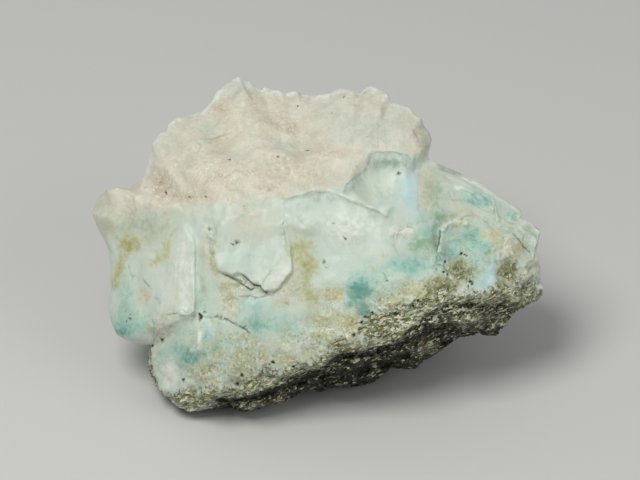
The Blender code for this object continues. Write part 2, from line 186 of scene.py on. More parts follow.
# Cracks: the line, depth and half width.
CRACKS = (
    (((-17.2, -6), (-15.9, -6.4), (-14.8, -6.9), (-13.6, -7.5)), 0.35, 0.12),
    (((-14, -5.8), (-12.9, -6.8), (-11.6, -7.9), (-10.5, -8.1), (-10.2, -8.8), (-8.8, -9.7)), 0.4, 0.13),
    (((-16.5, -6.3), (-14.5, -7.3), (-13.4, -8), (-12.1, -8.8), (-11.3, -8.2)), 0.35, 0.12),
    (((-13.7, -6.7), (-12.9, -7.3), (-13.5, -8)), 0.25, 0.1),
    (((-14.6, -10), (-12.4, -9.9), (-11, -10.2), (-8.8, -9.7)), 0.2, 0.1),
    (((-8.6, -9.6), (-7.2, -8.7), (-6.2, -7.9)), 0.12, 0.11),
    (((-10.3, -8.2), (-9.6, -6.8), (-8.4, -5)), 0.1, 0.1),
    (((-19.4, -13.8), (-18, -13.4), (-16.8, -13.8), (-15.4, -14.6), (-14.1, -15.2),
      (-13, -15.9), (-12, -16.9)), 0.35, 0.12),
    (((-21, -13.4), (-19.9, -13.7), (-18.9, -13.9)), 0.15, 0.1),
    (((-24.4, -12.4), (-23.2, -12.9), (-22, -12.7)), 0.12, 0.11),
    (((-31.5, -7.1), (-30.2, -8.4)), 0.25, 0.11), (((-29.2, -10), (-28.2, -11.4)), 0.12, 0.11),
    (((-34.3, -4.3), (-33.8, -6), (-33, -6.9)), 0.1, 0.12),
    (((-29.8, -13.8), (-29.4, -15.6), (-29.7, -17.6)), 0.14, 0.16),
    (((-28.6, -17), (-28.1, -18.2), (-27.4, -17.2)), 0.2, 0.12),
    (((21.3, 2), (21.2, 0.4), (20.9, -1), (20.6, -2.2)), 0.35, 0.14),
    (((20.9, -2), (21.9, -2.7), (22.3, -3.6), (21.9, -4.4), (22.1, -5.2), (22.9, -6.3)), 0.2, 0.18),
    (((20.5, -2.6), (20.7, -3.6), (20.3, -4.6), (20.8, -5.6)), 0.16, 0.16),
    (((20.7, -3.5), (21.3, -3.6), (21.9, -3.3)), 0.18, 0.16),
    (((20.4, -4.5), (21.2, -4.4), (21.8, -4.7)), 0.18, 0.16),
    (((34.2, 1.4), (34.8, 0.6), (35.6, -0.3), (36.3, -1.3), (37.8, -2.6)), 0.25, 0.13),
    (((30.9, 6.4), (31.1, 5.6), (31, 4.6)), 0.25, 0.13),
    (((22.5, 9.3), (23.6, 7.1), (26.1, 7.1), (28.9, 5.4), (31.8, 4.3)), 0.08, 0.12),
    (((31.1, 6.4), (31.8, 4.3), (33.9, 2.9), (35.4, 3.2)), 0.09, 0.12),
    (((13.6, 1.8), (16.1, 2.9), (18.4, 3.3), (20.7, 4.3)), 0.05, 0.11),
    (((26.1, 10.4), (28.9, 7.9), (31.8, 5.7)), 0.07, 0.11),
    (((24.6, 3.9), (27.4, 4.6), (29.6, 3.2), (31, 1.6), (32.4, 0.2)), 0.07, 0.12),
    (((28.8, 7.3), (30.3, 6.9), (31, 6.6), (31.7, 5.8)), 0.12, 0.11),
    (((17.3, 12), (17.3, 8), (17.4, 4.4)), 0.05, 0.12),
    (((11, -5.6), (11.6, -6.6), (12, -7.4)), 0.15, 0.1),
    (((13.2, 1.4), (13, 0.2), (13.2, -1.2), (13.6, -2.6)), 0.12, 0.11),
    (((-6, 3.6), (-6.6, 2.6), (-6.2, 1), (-6, -1), (-5.9, -3)), 0.12, 0.1),
    (((-2.2, 2), (-3.2, 3.2), (-4.2, 4.2)), 0.08, 0.11),
    (((16.2, 19.8), (17.4, 18.4), (18, 16.2)), 0.1, 0.14),
    (((-21.4, 17.4), (-21.2, 16.6), (-21.7, 15.4)), 0.1, 0.12),
    (((-21.8, 18), (-19, 18), (-15.6, 19.2)), 0.1, 0.16),
)
# Gaps between the layers of the rind, cut into the relief and darkened with painted shade: the line, depth
# and half width.
GAPS = (
    (((-18.4, -28.3), (-15.6, -28.9), (-12, -28), (-8, -26.8), (-4, -25.2), (0, -23.4)),
     0.7, 0.4),
    (((1.6, -21.8), (3.4, -20.7), (5.6, -20.5), (8, -20.4), (10, -20.2)), 0.6, 0.45),
    (((8.3, -20), (12.5, -18.8), (15.6, -17.8), (18.4, -16.6), (20.6, -15.8), (22.9, -14.6)),
     0.5, 0.28),
    (((-10.6, -23.8), (-8.6, -24.4), (-6, -24.6), (-3.4, -24.2)), 0.4, 0.3),
    (((25.2, -11.3), (26.4, -10.7), (27.2, -11.8), (28.4, -12.5)), 0.3, 0.18),
    (((29.6, -12), (31.4, -11.8), (33, -10.8)), 0.3, 0.2),
    (((21.6, -16.6), (24, -16), (27.4, -14.8), (31, -14.6)), 0.3, 0.22),
    (((12.2, -21.4), (14.4, -20.8), (16.6, -20.4)), 0.35, 0.3),
    (((1.6, -25.2), (4, -24.2), (7.6, -22.8), (10.8, -21.8)), 0.4, 0.25),
    (((33.6, -11.8), (35.6, -11), (37.4, -10.6)), 0.3, 0.2),
)
# Soft swellings and hollows on the face: place, half width, half height and height.
LUMPS = (
    (-26.2, -15.7, 4, 2.1, 1), (-25.2, -17.6, 4.6, 2.6, 0.8), (-28.8, -17.2, 1.4, 1.5, 0.5),
    (-26.6, -15.6, 1.8, 1.2, 0.45), (-24.4, -14.6, 1.8, 1.1, 0.45), (-22.4, -13.9, 1.4, 1, 0.4),
    (-25.5, -21.5, 3, 3, 0.5), (-13, -22, 3, 2.5, 0.4), (24.8, -5.4, 1.6, 1.4, -0.6),
    (33.2, -5.3, 1.5, 1.5, -0.6), (23.6, -2, 1.5, 1.5, -0.5), (27.2, 0.6, 1.9, 1.5, -0.45),
    (2.4, -9.8, 2.2, 1.2, -0.25), (27.6, -9.2, 2, 0.9, 0.4), (-15.3, -27.2, 1.2, 0.7, 0.5),
    (15, 1.3, 1.7, 0.8, 0.3), (9.4, -16.4, 3, 2.4, 0.6), (33.9, -1.7, 1.9, 1.6, 0.55),
    (-36.6, 2.2, 0.9, 1.4, 0.35), (-38.2, 5.6, 2.6, 3, 0.5), (-28, 9.2, 2.4, 2.4, -0.5),
    (-23.6, 14.2, 2.4, 1.6, -0.4), (-19, 13, 4.5, 3, 0.5), (-5, 15.6, 4, 2, 0.35),
    (-12.5, 12, 0.9, 0.8, -0.2), (9, 20, 7, 3.6, 0.3), (19, 1, 2.2, 2.2, 0.3),
    (16.5, -4.6, 3.4, 1.2, -0.3), (6.8, -10.4, 1.4, 1.8, -0.3), (-21.3, -17.8, 0.4, 1.4, 0.35),
    (-18.6, -22, 1, 3, -0.4), (-9.6, -20, 1, 3, -0.35), (-4, -12, 2.4, 2, 0.25),
    (-33, -13, 2.4, 3.4, 0.3), (36.6, -5.8, 1.6, 2, 0.4), (21.3, -3.1, 0.5, 0.4, 0.3),
    (21.4, -4, 0.5, 0.4, 0.3), (21.1, -5, 0.5, 0.5, 0.3), (-10.5, -29.2, 4.5, 0.8, 0.6),
    (18.4, -19.4, 3, 0.9, 0.6), (8.4, -24.4, 3.6, 0.9, 0.5),
)
# Crests of broken crystal: the line, half width and height.
CRESTS = (
    (RUBBLE_ARC, 0.45, 0.4),
    (((-19.6, 1.8), (-19, -0.6), (-19.3, -3.4), (-18.4, -5.8)), 0.5, 0.25),
    (((30.4, -0.4), (31, -2.6), (30.2, -4)), 0.5, 0.35),
    (((22.6, -6.6), (24.2, -7.4), (26, -7), (27, -5.4)), 0.4, 0.35),
    (((31.6, -3.4), (32.6, -2.6), (34.4, -2.8), (35.8, -4.4)), 0.4, 0.35),
    (((34.2, -8.4), (35, -7.4), (35.4, -6.2)), 0.3, 0.4),
    (((22.6, -6.2), (23.8, -7), (25.2, -7.6)), 0.3, 0.3),
)

# Black dots: place and radius.
DOTS = (
    (-19.7, -12.1, 0.34), (-21.2, -13.1, 0.31), (-21, -13.6, 0.43), (-20.4, -12.7, 0.18),
    (-28.1, -17.7, 0.25), (-29.9, -18.9, 0.22), (-24.3, -24.8, 0.22), (-13.8, -23.8, 0.29),
    (-14.6, -25.5, 0.29), (-8.3, -21.6, 0.29), (-4.7, -22.3, 0.22), (9.2, -12.8, 0.25),
    (13.3, -12.9, 0.34), (8, -13.5, 0.22), (7.3, -14.5, 0.27), (5.9, -16.7, 0.25), (25, -2.4, 0.22),
    (25.6, -2.6, 0.22), (26, -2.8, 0.16), (22.1, -3.8, 0.22), (21.8, -5.7, 0.2), (22.4, -6.1, 0.18),
    (26.5, -7.3, 0.25), (26.8, -7.8, 0.2), (26.1, -8.1, 0.18), (17.2, -10.6, 0.25), (16.4, -11.6, 0.2),
    (-33.5, -12.5, 0.15), (-34.6, -12.7, 0.13), (-34, -13.9, 0.12), (-33.8, -13.3, 0.11),
    (-34.5, -14.5, 0.13), (13.9, 11.8, 0.15), (-27.4, 8.5, 0.18), (-23.1, 7.7, 0.13), (-20.2, 7.6, 0.12),
    (4.4, 0.2, 0.12), (2.4, 2.9, 0.11), (1.2, -4.9, 0.1), (2.6, -5.3, 0.11), (0.8, -3.9, 0.1),
    (2.7, -4, 0.1), (-14.7, -0.7, 0.12), (-15.4, -0.7, 0.1), (4.3, 25.5, 0.13), (-4, 24, 0.13),
    (-15.9, 14.3, 0.13), (-19.5, 1.8, 0.12), (-7.5, 14.9, 0.11), (-2.1, 15.9, 0.11), (8.5, 18.4, 0.11),
    (2.1, 22.7, 0.11), (11.9, -7.2, 0.13),
)

# The shades laid over one another on the stone, in this order. Each has the zone it belongs
# to, its pale and its deep screen colour, how ragged its rim is and how much of its zone it
# takes up on the sides and back. Then come its places on the face: soft ovals (place, half
# width, half height, strength), soft lines (line, half width, strength) and banks that start
# sharply at a line and fade out on its left (line, reach, strength).
FIELDS = "zone pale deep rim share spots strokes banks"
Tone = collections.namedtuple("Tone", FIELDS, defaults=((), (), ()))
REAR_CLOUD = 7
TONES = {
    "cream": Tone(
        "band", (212, 209, 192), (200, 197, 172), 0.2, 0.3,
        spots=(
            (-24, 5, 5, 1.5, 0.5), (-12, 3.4, 5.5, 3.4, 0.6), (-36.8, 3, 2.6, 3, 0.7),
            (-19.6, -1, 0.9, 4, 0.5), (24.4, 6.8, 3, 1, 0.6), (19.6, 9, 2, 4.4, 0.9),
            (23.6, 10.8, 3, 1.2, 0.5), (-30, -5, 3, 4.4, 0.3), (-5.6, -9, 2.6, 3, 0.6),
            (34, -1.8, 2.4, 2, 0.9), (8.8, 8.6, 3, 2, 0.35), (-5, 0.8, 1.2, 2.6, 0.5),
            (-28.2, -14.6, 2, 2.2, 0.7), (-7.4, -6.4, 1.4, 1.6, 0.4), (24, 3.1, 2.4, 0.8, 0.7),
            (37.4, -6, 1.6, 2.4, 0.6), (31, -2, 0.9, 1.6, 0.6), (-7, -18.6, 3, 1.2, 0.5),
            (-3, -20, 3, 1.4, 0.5), (26.4, 4.8, 3, 1, 0.5), (-15, -23, 2.4, 2.2, 0.5),
            (-8, -24, 3, 1, 0.4), (11, -12, 2, 1, 0.4),
        ),
        banks=((WALL, 1.6, 0.8), (PLATE[4:9][::-1], 0.7, 0.7), (PLATE[12:][::-1], 1.2, 0.6)),
    ),
    "aqua": Tone(
        "band", (190, 216, 205), (168, 204, 193), 0.2, 0.48,
        spots=(
            (3, -3.4, 4, 3, 0.35), (-11.4, -11.8, 3, 1.5, 0.8), (-7, -15, 4, 3, 0.75),
            (-24, -15.6, 2.8, 1.8, 0.7), (-25.5, -21.5, 4, 3.6, 0.7), (9.5, -6.4, 4.4, 3, 0.65),
            (16, -4.6, 5, 2.4, 0.9), (27, -3, 4, 5, 0.8), (28.4, 7.4, 3.4, 1.8, 0.8),
            (34.2, 4.4, 1.6, 1.1, 0.9), (-34.2, -9, 1.6, 4, 0.6), (-33.6, -15, 4.2, 2.4, 0.9),
            (12.4, -8.6, 3.4, 2, 0.6), (37.6, 2.4, 1.6, 0.8, 0.9), (-20.6, -9.6, 1.3, 4, 0.5),
            (-17.5, -16.5, 4, 2.6, 0.5), (-1, -14.6, 3, 2.4, 0.5), (20, 1.8, 3.2, 3.4, 0.6),
            (17.6, 4, 1.8, 1.8, 0.7), (-14, -3.4, 4, 2, 0.35), (2, 4.6, 5, 2, 0.25),
            (-22, 3.4, 3, 1.4, 0.3), (-31, -12, 1.6, 2, 0.4), (-17.3, -23.8, 0.9, 2.2, 0.8),
            (2.6, -17.8, 1.2, 0.8, 0.7), (36.6, 1.2, 1.8, 1.4, 0.8), (36, -1, 2.4, 2, 0.4),
            (14, -9.6, 3, 1.4, 0.4), (0.6, -20.6, 2.4, 1, 0.5), (-5, -22.8, 3, 0.8, 0.5),
            (-27.6, -22.6, 2.2, 3, 0.6),
        ),
        banks=((RIGHT_STREAK[::-1], 1.6, 0.6), (RIDGE[4:9][::-1], 0.8, 0.7)),
    ),
    "glow": Tone(
        "band", (168, 206, 194), (140, 188, 174), 0.2, 0.26,
        spots=(
            (7.6, -9.2, 3.6, 3, 0.85), (-11.6, -15, 2.8, 2.2, 0.75), (-24, -20.4, 3.6, 2.2, 0.8),
            (26.6, 0, 4, 3, 0.8), (23.5, -2, 2.4, 2.2, 0.8), (16, -4.6, 4.2, 1.5, 0.8),
            (19, 0.4, 2.6, 2.4, 0.8), (29.2, -2, 1.8, 3, 0.8), (28.6, 7, 3, 1, 0.7),
            (-19.4, -17, 1.6, 2.8, 0.7), (-34.6, -15, 2.8, 2.2, 0.7), (21, 4.2, 1.5, 1.4, 0.6),
            (-14, -18.5, 3, 2, 0.5), (21, -4.2, 1.4, 2.2, 0.8), (-28.8, -21.4, 1, 3.4, 0.3),
            (27.4, -4.8, 2, 3, 0.6), (-35, -12, 1.4, 4, 0.65), (31.8, -8, 1.2, 1.6, 0.3),
        ),
        strokes=((((36.4, 1.9), (38, 1.3)), 0.8, 0.5),),
    ),
    "green": Tone(
        "band", (172, 199, 174), (140, 176, 148), 0.4, 0.36,
        spots=(
            (18, -0.8, 2.8, 1.4, 0.85), (20.8, 4.2, 1.2, 1.4, 0.75), (27, 0.4, 2, 1.7, 0.5),
            (20.2, -0.6, 1.1, 1.6, 0.7), (-20.8, -9.4, 1, 3, 0.45), (-17.8, -14.3, 0.7, 0.9, 0.6),
            (-18.8, -18.8, 1.8, 1.8, 0.7), (13, -7, 2.6, 1.4, 0.3), (24, 1.8, 1.6, 1, 0.55),
            (20.2, 8, 2, 3.6, 0.5), (-24.6, -25.6, 2.6, 1, 0.3), (-5, -24, 3, 0.8, 0.5),
            (-13, -19.4, 1.6, 1.2, 0.5), (2.6, -15, 3, 2, 0.4), (-4, -16.6, 2, 2, 0.3),
            (33, 1.4, 1.6, 0.9, 0.4), (10, -13.6, 3, 1, 0.4), (-34.2, -12.6, 1.6, 2.4, 0.6),
        ),
    ),
    "blue": Tone(
        "band", (197, 220, 218), (188, 216, 216), 0.2, 0.4,
        spots=(
            (15.6, 8.4, 1.6, 3.4, 0.9), (12.9, 6.2, 3, 2, 0.35), (-26, -20.4, 2, 1.6, 0.5),
            (-19.4, -16.8, 1.3, 2.2, 0.7), (-34, -13, 1.6, 2, 0.3), (17.6, 4.4, 1, 1.2, 0.4),
            (28, -9.6, 2, 1.4, 0.8), (21.3, -4.2, 0.9, 1.6, 0.9), (23.4, -1.8, 1.2, 1.2, 0.4),
            (28.4, -5, 1.2, 2.6, 0.5), (-1.4, -17.2, 1.6, 1, 0.3), (-7.6, -22, 1.4, 0.8, 0.5),
        ),
        strokes=((((31.3, -3.8), (30.2, -6.2), (28.6, -9)), 1.3, 1),),
        banks=((WALL[::-1], 1.4, 0.8),),
    ),
    "teal": Tone(
        "band", (136, 184, 173), (96, 154, 142), 0.3, 0.12,
        spots=(
            (7, -9.2, 2.6, 2.2, 1), (5.4, -11.2, 1.3, 0.8, 0.75), (7.5, -12.2, 1.7, 2.3, 0.95),
            (-11.3, -15.2, 1.5, 1.2, 0.65), (-22.8, -20.7, 2, 1.4, 0.8), (-20.4, -19.8, 1, 1.1, 0.6),
            (27.2, 0.6, 1.4, 1.4, 0.7), (23.6, -2, 1.2, 1.3, 0.6), (29, -1.3, 0.8, 1.2, 0.6),
            (16.5, -4.6, 2.4, 0.7, 0.35), (-35.6, -16.4, 1.6, 0.9, 0.9), (-25.6, -19.4, 1.4, 0.9, 0.5),
            (20.6, -3.4, 0.5, 2, 0.7), (28.3, 7.2, 2.4, 0.8, 0.2), (-20.2, -17.2, 0.8, 1.6, 0.5),
            (9, -7.6, 1.4, 0.9, 0.5),
        ),
        banks=((((-23, -22.4), (-23, -18.6)), 1.1, 0.8),),
    ),
    # Pale patches of the stone's own, and painted highlights: a bright line along the upper outline, and
    # thin bright lines on the fan's edge, the right rim and the recess edge.
    "white_and_highlight": Tone(
        "both", (219, 226, 214), (235, 238, 230), 0.35, 0.42,
        spots=(
            (4.6, 2.6, 6, 3, 0.65), (-2.6, 3.2, 2.4, 2, 0.4), (15, 1.4, 1.4, 0.7, 0.8),
            (-26.6, -23.8, 2, 2.4, 0.9), (-23.2, -24.9, 0.6, 0.5, 0.9), (27.8, -9.3, 1.6, 0.8, 0.8),
            (24.6, 9.2, 1.3, 0.5, 0.8), (-19.8, 1.9, 1.2, 1.2, 0.5), (-12.5, -7.7, 0.9, 0.7, 0.75),
            (11.4, 8.8, 2.6, 1.6, 0.35), (-34.9, 7.5, 0.8, 0.7, 0.6), (34.8, -7.9, 0.8, 0.6, 0.9),
            (35.4, 2.2, 1, 0.8, 0.6), (33, 3.6, 1, 0.9, 0.5), (-23.6, -14.8, 2.2, 1.2, 0.4),
            (5, 25.2, 4, 1.2, 0.5), (-1.8, 12.4, 2.2, 1, 0.5), (-16, -20.8, 0.7, 1.1, 0.6),
            (-15.2, -27.3, 1.1, 0.6, 1), (-8, -17.8, 2.2, 1.4, 0.4), (-29, 7.6, 1.6, 0.6, 0.4),
            (-9, 7.6, 1.6, 0.8, 0.3), (5.6, 13.4, 1.8, 1.2, 0.4), (25, -9.2, 1, 0.9, 0.6),
            (33.2, -1.8, 1.2, 1.3, 0.5), (36.6, 0, 1.4, 1.4, 0.6), (36.5, 1.3, 1.6, 1.2, 0.5),
            (23.2, -6.8, 0.8, 0.7, 0.8), (22.6, -0.9, 0.5, 0.5, 0.6), (18.2, 1.8, 1.2, 0.5, 0.5),
            (39.2, -10.2, 0.3, 0.4, 0.9), (-7.8, -21.6, 0.9, 0.6, 0.6), (-4.1, -19.8, 0.8, 0.6, 0.6),
            (7.4, -17.4, 1, 0.8, 0.6), (30.9, 5.9, 0.4, 0.5, 0.8), (-18.6, -21.8, 0.4, 0.9, 0.5),
        ),
        strokes=(
            (((-24.2, 0.6), (-24.1, -6), (-24, -11.6)), 1.5, 0.65),
            (((-25.4, 1.2), (-25, -6), (-24.8, -11)), 3.2, 0.42),
            (((20, 13.9), (22.4, 12.8), (25, 11.5), (28, 10.2), (30.4, 8.7), (32.2, 7.4)), 0.4, 0.9),
            (((32.2, 7.4), (35.4, 5.2)), 0.4, 0.9), (((-21.2, -16.4), (-21.4, -19)), 0.35, 0.9),
            (((-7.6, -8.4), (-5.8, -4.8)), 0.8, 0.4),
            (RUBBLE_ARC, 0.35, 0.6),
            (((-2, 8.75), (0, 9.4), (2.2, 8.75), (4.2, 7.85), (6.6, 6.5), (9, 5.7)), 0.18, 0.6),
            (OUTLINE[5:58], 0.7, 0.8),
            (((-19.8, -20.8), (-18.2, -22.9), (-16.6, -24.9), (-15.3, -26.3)), 0.22, 0.7),
            (((8.8, -18), (12, -17.8), (14.6, -16.8)), 0.3, 0.5),
        ),
        banks=((RIDGE[4:9], 1.2, 0.3), (RECESS_EDGE, 0.3, 0.4)),
    ),
    # Painted shade in hollows and under edges: the dark top of the recess under the overhanging cap, and a
    # strip just below the fan's edge.
    "shade": Tone(
        "none", (174, 190, 179), (150, 170, 159), 0.2, 0,
        spots=(
            (12.6, 13.8, 3.8, 1.3, 0.85), (9.6, 13, 1.5, 1.2, 0.75), (5.5, 9.2, 1.2, 1.2, 0.6),
            (0.2, 7.5, 3.4, 1.1, 0.6), (-4.6, 6, 2.2, 1.4, 0.3), (15.6, 13.6, 1.4, 1.4, 0.5),
            (6.8, 10.4, 1.1, 0.9, 0.6), (25.6, -3.6, 0.9, 0.8, 0.6),
        ),
        strokes=((((21.4, 12.8), (23, 12.2), (25, 11.6)), 0.4, 0.7),),
        banks=((RECESS_EDGE[::-1], 1, 0.8), (FAN_EDGE[:8][::-1], 0.6, 0.25)),
    ),
    # A greenish grey, partly the stone's own tone and partly painted shade: the dimmer left of the face,
    # the crease in the cap, and the rim facet at upper right that faces away from the light.
    "grey_and_shade": Tone(
        "both", (186, 191, 171), (174, 181, 157), 0, 0.38,
        spots=(
            (-31, 2.5, 6.5, 3.4, 0.7), (-38.4, 2.4, 1.6, 2, 0.7), (-20.8, -5, 1.1, 5, 0.5),
            (18.7, 18.2, 1, 2.6, 0.8), (-24, 14.6, 2.6, 2.4, 0.35), (-19.4, 17.7, 2.8, 0.8, 0.5),
            (-25.8, 16.8, 1.8, 1.8, 0.4), (-38.4, 6.4, 2.4, 3, 0.55), (-14.8, 9.6, 1.4, 1.2, 0.4),
            (-15, 4.6, 2, 0.6, 0.35), (-12.4, 25.6, 1.4, 1, 0.3), (-31.6, 5.6, 2.8, 1.2, 0.35),
            (37.4, -5.4, 1.6, 2.4, 0.4), (-4.8, 13.8, 1.8, 0.6, 0.25), (-9, 11.2, 1.6, 0.8, 0.3),
            (-37.6, -15.6, 0.8, 1.6, 0.5), (-28.4, -27, 1.2, 1.2, 0.5), (-25, 10, 5.5, 4.5, 0.25),
        ),
        strokes=(
            (((-20.5, -7), (-20.5, -9.6)), 0.3, 0.5), (((-15, -3.4), (-14.6, -5.4)), 0.3, 0.3),
            (((36, 1.9), (37.5, 1.4), (38.4, 0.8), (38.7, -0.4), (38.3, -1.7)), 0.22, 0.6),
        ),
        banks=((RIGHT_RIM[:4], 0.8, 0.8),),
    ),
    "tan": Tone(
        "band", (206, 200, 165), (190, 180, 136), 0.5, 0.12,
        spots=(
            (-31.2, -9.6, 1.1, 1.7, 0.7), (-16.3, -8.2, 1.3, 1.1, 0.7), (-16, -10.6, 1.1, 1.5, 0.8),
            (-15.6, -12.7, 1.1, 0.8, 0.6), (2.4, -9.7, 2.2, 1.5, 0.85), (0.9, -10.2, 1, 1.3, 0.6),
            (-6.2, -11, 1, 0.8, 0.7), (-4.4, -6.8, 1.2, 1.4, 0.4), (-14.4, -7.7, 1.5, 0.5, 0.7),
            (35.2, -1.4, 1.2, 1.6, 0.6), (1.2, -15.2, 1.4, 1.4, 0.6), (-37.6, 2.2, 0.9, 1.8, 0.4),
            (36.7, -3.2, 1, 1.4, 0.25), (-25.3, -9.4, 0.4, 1.6, 0.4), (25, 5.3, 2.2, 0.6, 0.5),
            (31, -0.6, 1.2, 1.2, 0.4), (-12.4, -22.6, 2, 1.4, 0.5), (-20.5, -1.8, 0.5, 1.6, 0.4),
            (-16, -23.2, 0.7, 0.5, 0.8), (-10, -21, 1, 0.7, 0.8), (-30.4, -16, 0.6, 1.6, 0.6),
            (-20.4, -20.6, 0.5, 0.7, 0.5), (-20.2, -22.8, 0.7, 0.8, 0.5), (3.2, -13, 0.8, 1.4, 0.5),
        ),
        strokes=(
            (((-19, -2.2), (-19.3, -4), (-18.3, -6)), 0.45, 0.8), (((-28.4, -3.6), (-27, -2.2)), 0.5, 0.35),
            (((-10.2, -19.6), (-10.4, -21.4), (-10.2, -23)), 0.3, 0.5),
        ),
    ),
    "ochre": Tone(
        "band", (206, 200, 158), (197, 187, 130), 0.7, 0.04,
        spots=(
            (30.2, 0.7, 2, 0.8, 0.7), (11.5, -2.3, 1, 0.4, 0.7), (15.8, -2.4, 0.9, 0.4, 0.6),
            (-5.4, -21, 0.9, 0.6, 0.7), (4.6, -17.4, 1.1, 0.8, 0.7), (12.6, -11.4, 1.8, 0.8, 0.6),
            (-6, -7.6, 1, 1.4, 0.3), (9.9, -5, 1.2, 0.7, 0.4), (8, -11.6, 0.8, 1.6, 0.1),
            (-27, -1.6, 0.5, 1.2, 0.6), (-30, -16.8, 0.4, 1.2, 0.5), (5.6, -15, 0.8, 1.6, 0.6),
            (3.6, -9.4, 1, 0.6, 0.5), (0.2, -16.4, 0.9, 1.2, 0.5), (15.6, -9, 1.8, 0.8, 0.5),
            (-28.6, -2.6, 0.6, 0.5, 0.5), (-31, -8.4, 0.5, 0.6, 0.5), (10, -7.4, 1.2, 0.6, 0.2),
        ),
    ),
    "olive": Tone(
        "band", (195, 195, 154), (179, 178, 126), 0.5, 0.1,
        spots=(
            (-34, -0.9, 2, 1.9, 0.95), (-30.7, 0.3, 0.6, 0.6, 0.6), (-29.2, -3.9, 1.4, 0.9, 0.75),
            (-3.5, -1.2, 2.2, 2, 0.8), (-2, -4.4, 2, 2.2, 0.9), (18, -9.2, 2.2, 1.6, 0.9),
            (-5.4, -21.2, 2, 1.2, 0.8), (4.4, -17.8, 2.2, 1.3, 0.8), (20.2, 8, 1.3, 2.4, 0.2),
            (-13, -21, 2, 1.5, 0.85), (11.8, -9.2, 1.5, 0.8, 0.4), (13.4, -10.8, 2.6, 1.3, 0.9),
            (9.4, -5, 1.4, 0.7, 0.4), (-36.2, 0.4, 1.4, 0.5, 0.6), (0.4, -14, 2.8, 1.8, 0.7),
            (5, -14.6, 1.8, 2.4, 0.9), (-20.6, -23.6, 2.4, 2, 0.7), (-17.8, -20.4, 0.7, 0.7, 0.9),
            (19.8, -12, 2.4, 1, 0.6), (28.6, -11.8, 2.6, 0.9, 0.6), (-1, -21.8, 2, 0.8, 0.5),
            (-8, -24, 2.4, 0.7, 0.5), (37.6, -8.6, 1, 1, 0.6), (-36.4, 4, 1.4, 0.6, 0.3),
        ),
        strokes=(
            (((-34.6, -1.6), (-35.3, -3.6), (-36, -5.4), (-36.7, -8)), 1, 0.7),
            (((-27.1, -0.2), (-27.7, -2.8)), 1.2, 0.55), (((-20.4, -8), (-20.2, -10)), 0.3, 0.5),
            (((-4.6, -1.8), (-3.4, -3.6), (-2.2, -5.6), (-2.8, -8.4), (-1.2, -10.8)), 1.5, 0.7),
        ),
    ),
    "moss": Tone(
        "none", (150, 148, 90), (106, 104, 50), 0.5, 0,
        spots=(
            (24.8, -5.4, 2.3, 2, 1), (33.4, -5.4, 2.1, 2.4, 1), (21.4, -8.3, 2.8, 1.8, 1),
            (18.6, -10, 2.2, 1.4, 0.7), (31.8, -8.2, 1, 1.3, 0.8), (36.2, -7, 0.6, 1.4, 0.3),
            (5.9, -16.6, 0.35, 0.4, 1), (-2.4, -4.6, 0.7, 0.9, 0.5), (-34, -1, 1.5, 1.5, 0.3),
            (2.6, -10.3, 0.5, 0.3, 0.6), (-6.3, -11.2, 0.4, 0.3, 0.7), (32.6, -6.9, 1, 0.7, 0.5),
            (14.6, -12.4, 1.6, 0.7, 0.6),
        ),
    ),
    "pearl": Tone(
        "cap", (211, 215, 203), (198, 205, 191), 0.2, 0.45,
        spots=(
            (9, 19.5, 8.5, 3.6, 0.8), (-15, 27.4, 2.8, 1.6, 0.9), (-20.4, 19.9, 2.8, 0.9, 0.8),
            (-6, 16.8, 3.2, 0.9, 0.7), (-0.5, 20.6, 4, 2.4, 0.4), (-27.4, 17.4, 1.8, 1.8, 0.5),
            (1, 23, 5, 1, 0.6), (-22.4, 22, 2.4, 0.8, 0.6), (0.5, 10.8, 3, 1.2, 0.4),
            (14.5, 20, 2, 4, 0.5), (-29, 15.6, 1.2, 3, 0.5), (-36, 7.6, 1.6, 1.2, 0.5),
        ),
    ),
    "warm": Tone(
        "cap", (208, 199, 179), (194, 182, 158), 0.6, 0.3,
        spots=(
            (-28, 9.6, 2.6, 3.2, 0.75), (-24.2, 7.8, 2.8, 1.1, 0.85), (-18.2, 23.6, 1.7, 0.8, 0.8),
            (-11.8, 24.6, 1.5, 1, 0.6), (-5.4, 20, 3, 1.8, 0.7), (-1.8, 11.6, 2.4, 1.4, 0.6),
            (-8.6, 9.4, 2.2, 1, 0.7), (-15.6, 7.4, 1.2, 1.4, 0.5), (-12.3, 12.1, 0.7, 0.6, 0.8),
            (-12.8, 6.1, 0.5, 0.7, 0.9), (1, 15.2, 4.5, 0.7, 0.55), (12, 16.5, 3.6, 0.4, 0.5),
            (-29.2, 12.8, 1.4, 1.4, 0.5), (-6.5, 14.9, 2, 0.7, 0.35), (-20.4, 7.6, 1.6, 0.6, 0.6),
            (16.6, 18.4, 1, 1.2, 0.4), (4, 24.6, 2, 0.6, 0.3), (-15.2, 18.4, 2.6, 0.6, 0.4),
            (-18, 12, 6, 4, 0.45), (-5, 12, 7, 3, 0.45),
        ),
    ),
    # Painted light: the rind paler along its upper ledges, where they face the light.
    "lit": Tone(
        "rind", (122, 126, 98), (148, 151, 120), 0.8, 0.4,
        spots=(
            (27, -14.2, 6.5, 1.9, 0.9), (18.6, -19.4, 3, 1, 0.9), (17, -17.4, 3, 0.8, 0.3),
            (-9.5, -29.2, 5.6, 0.7, 0.9), (8.6, -24.3, 3.4, 0.9, 0.25), (3, -24.6, 2, 0.5, 0.25),
            (-1.5, -26.6, 1.6, 0.4, 0.4), (31.4, -14.6, 3, 1.6, 0.9), (36, -11.2, 3, 1.4, 0.9),
            (12, -20.9, 2.6, 0.5, 0.5), (-23.4, -29.4, 3.4, 0.9, 0.9), (24, -17, 2, 0.6, 0.5),
            (3.4, -22.2, 1.6, 0.4, 0.4), (6.6, -22, 1.4, 0.4, 0.4),
        ),
    ),
    "rust": Tone(
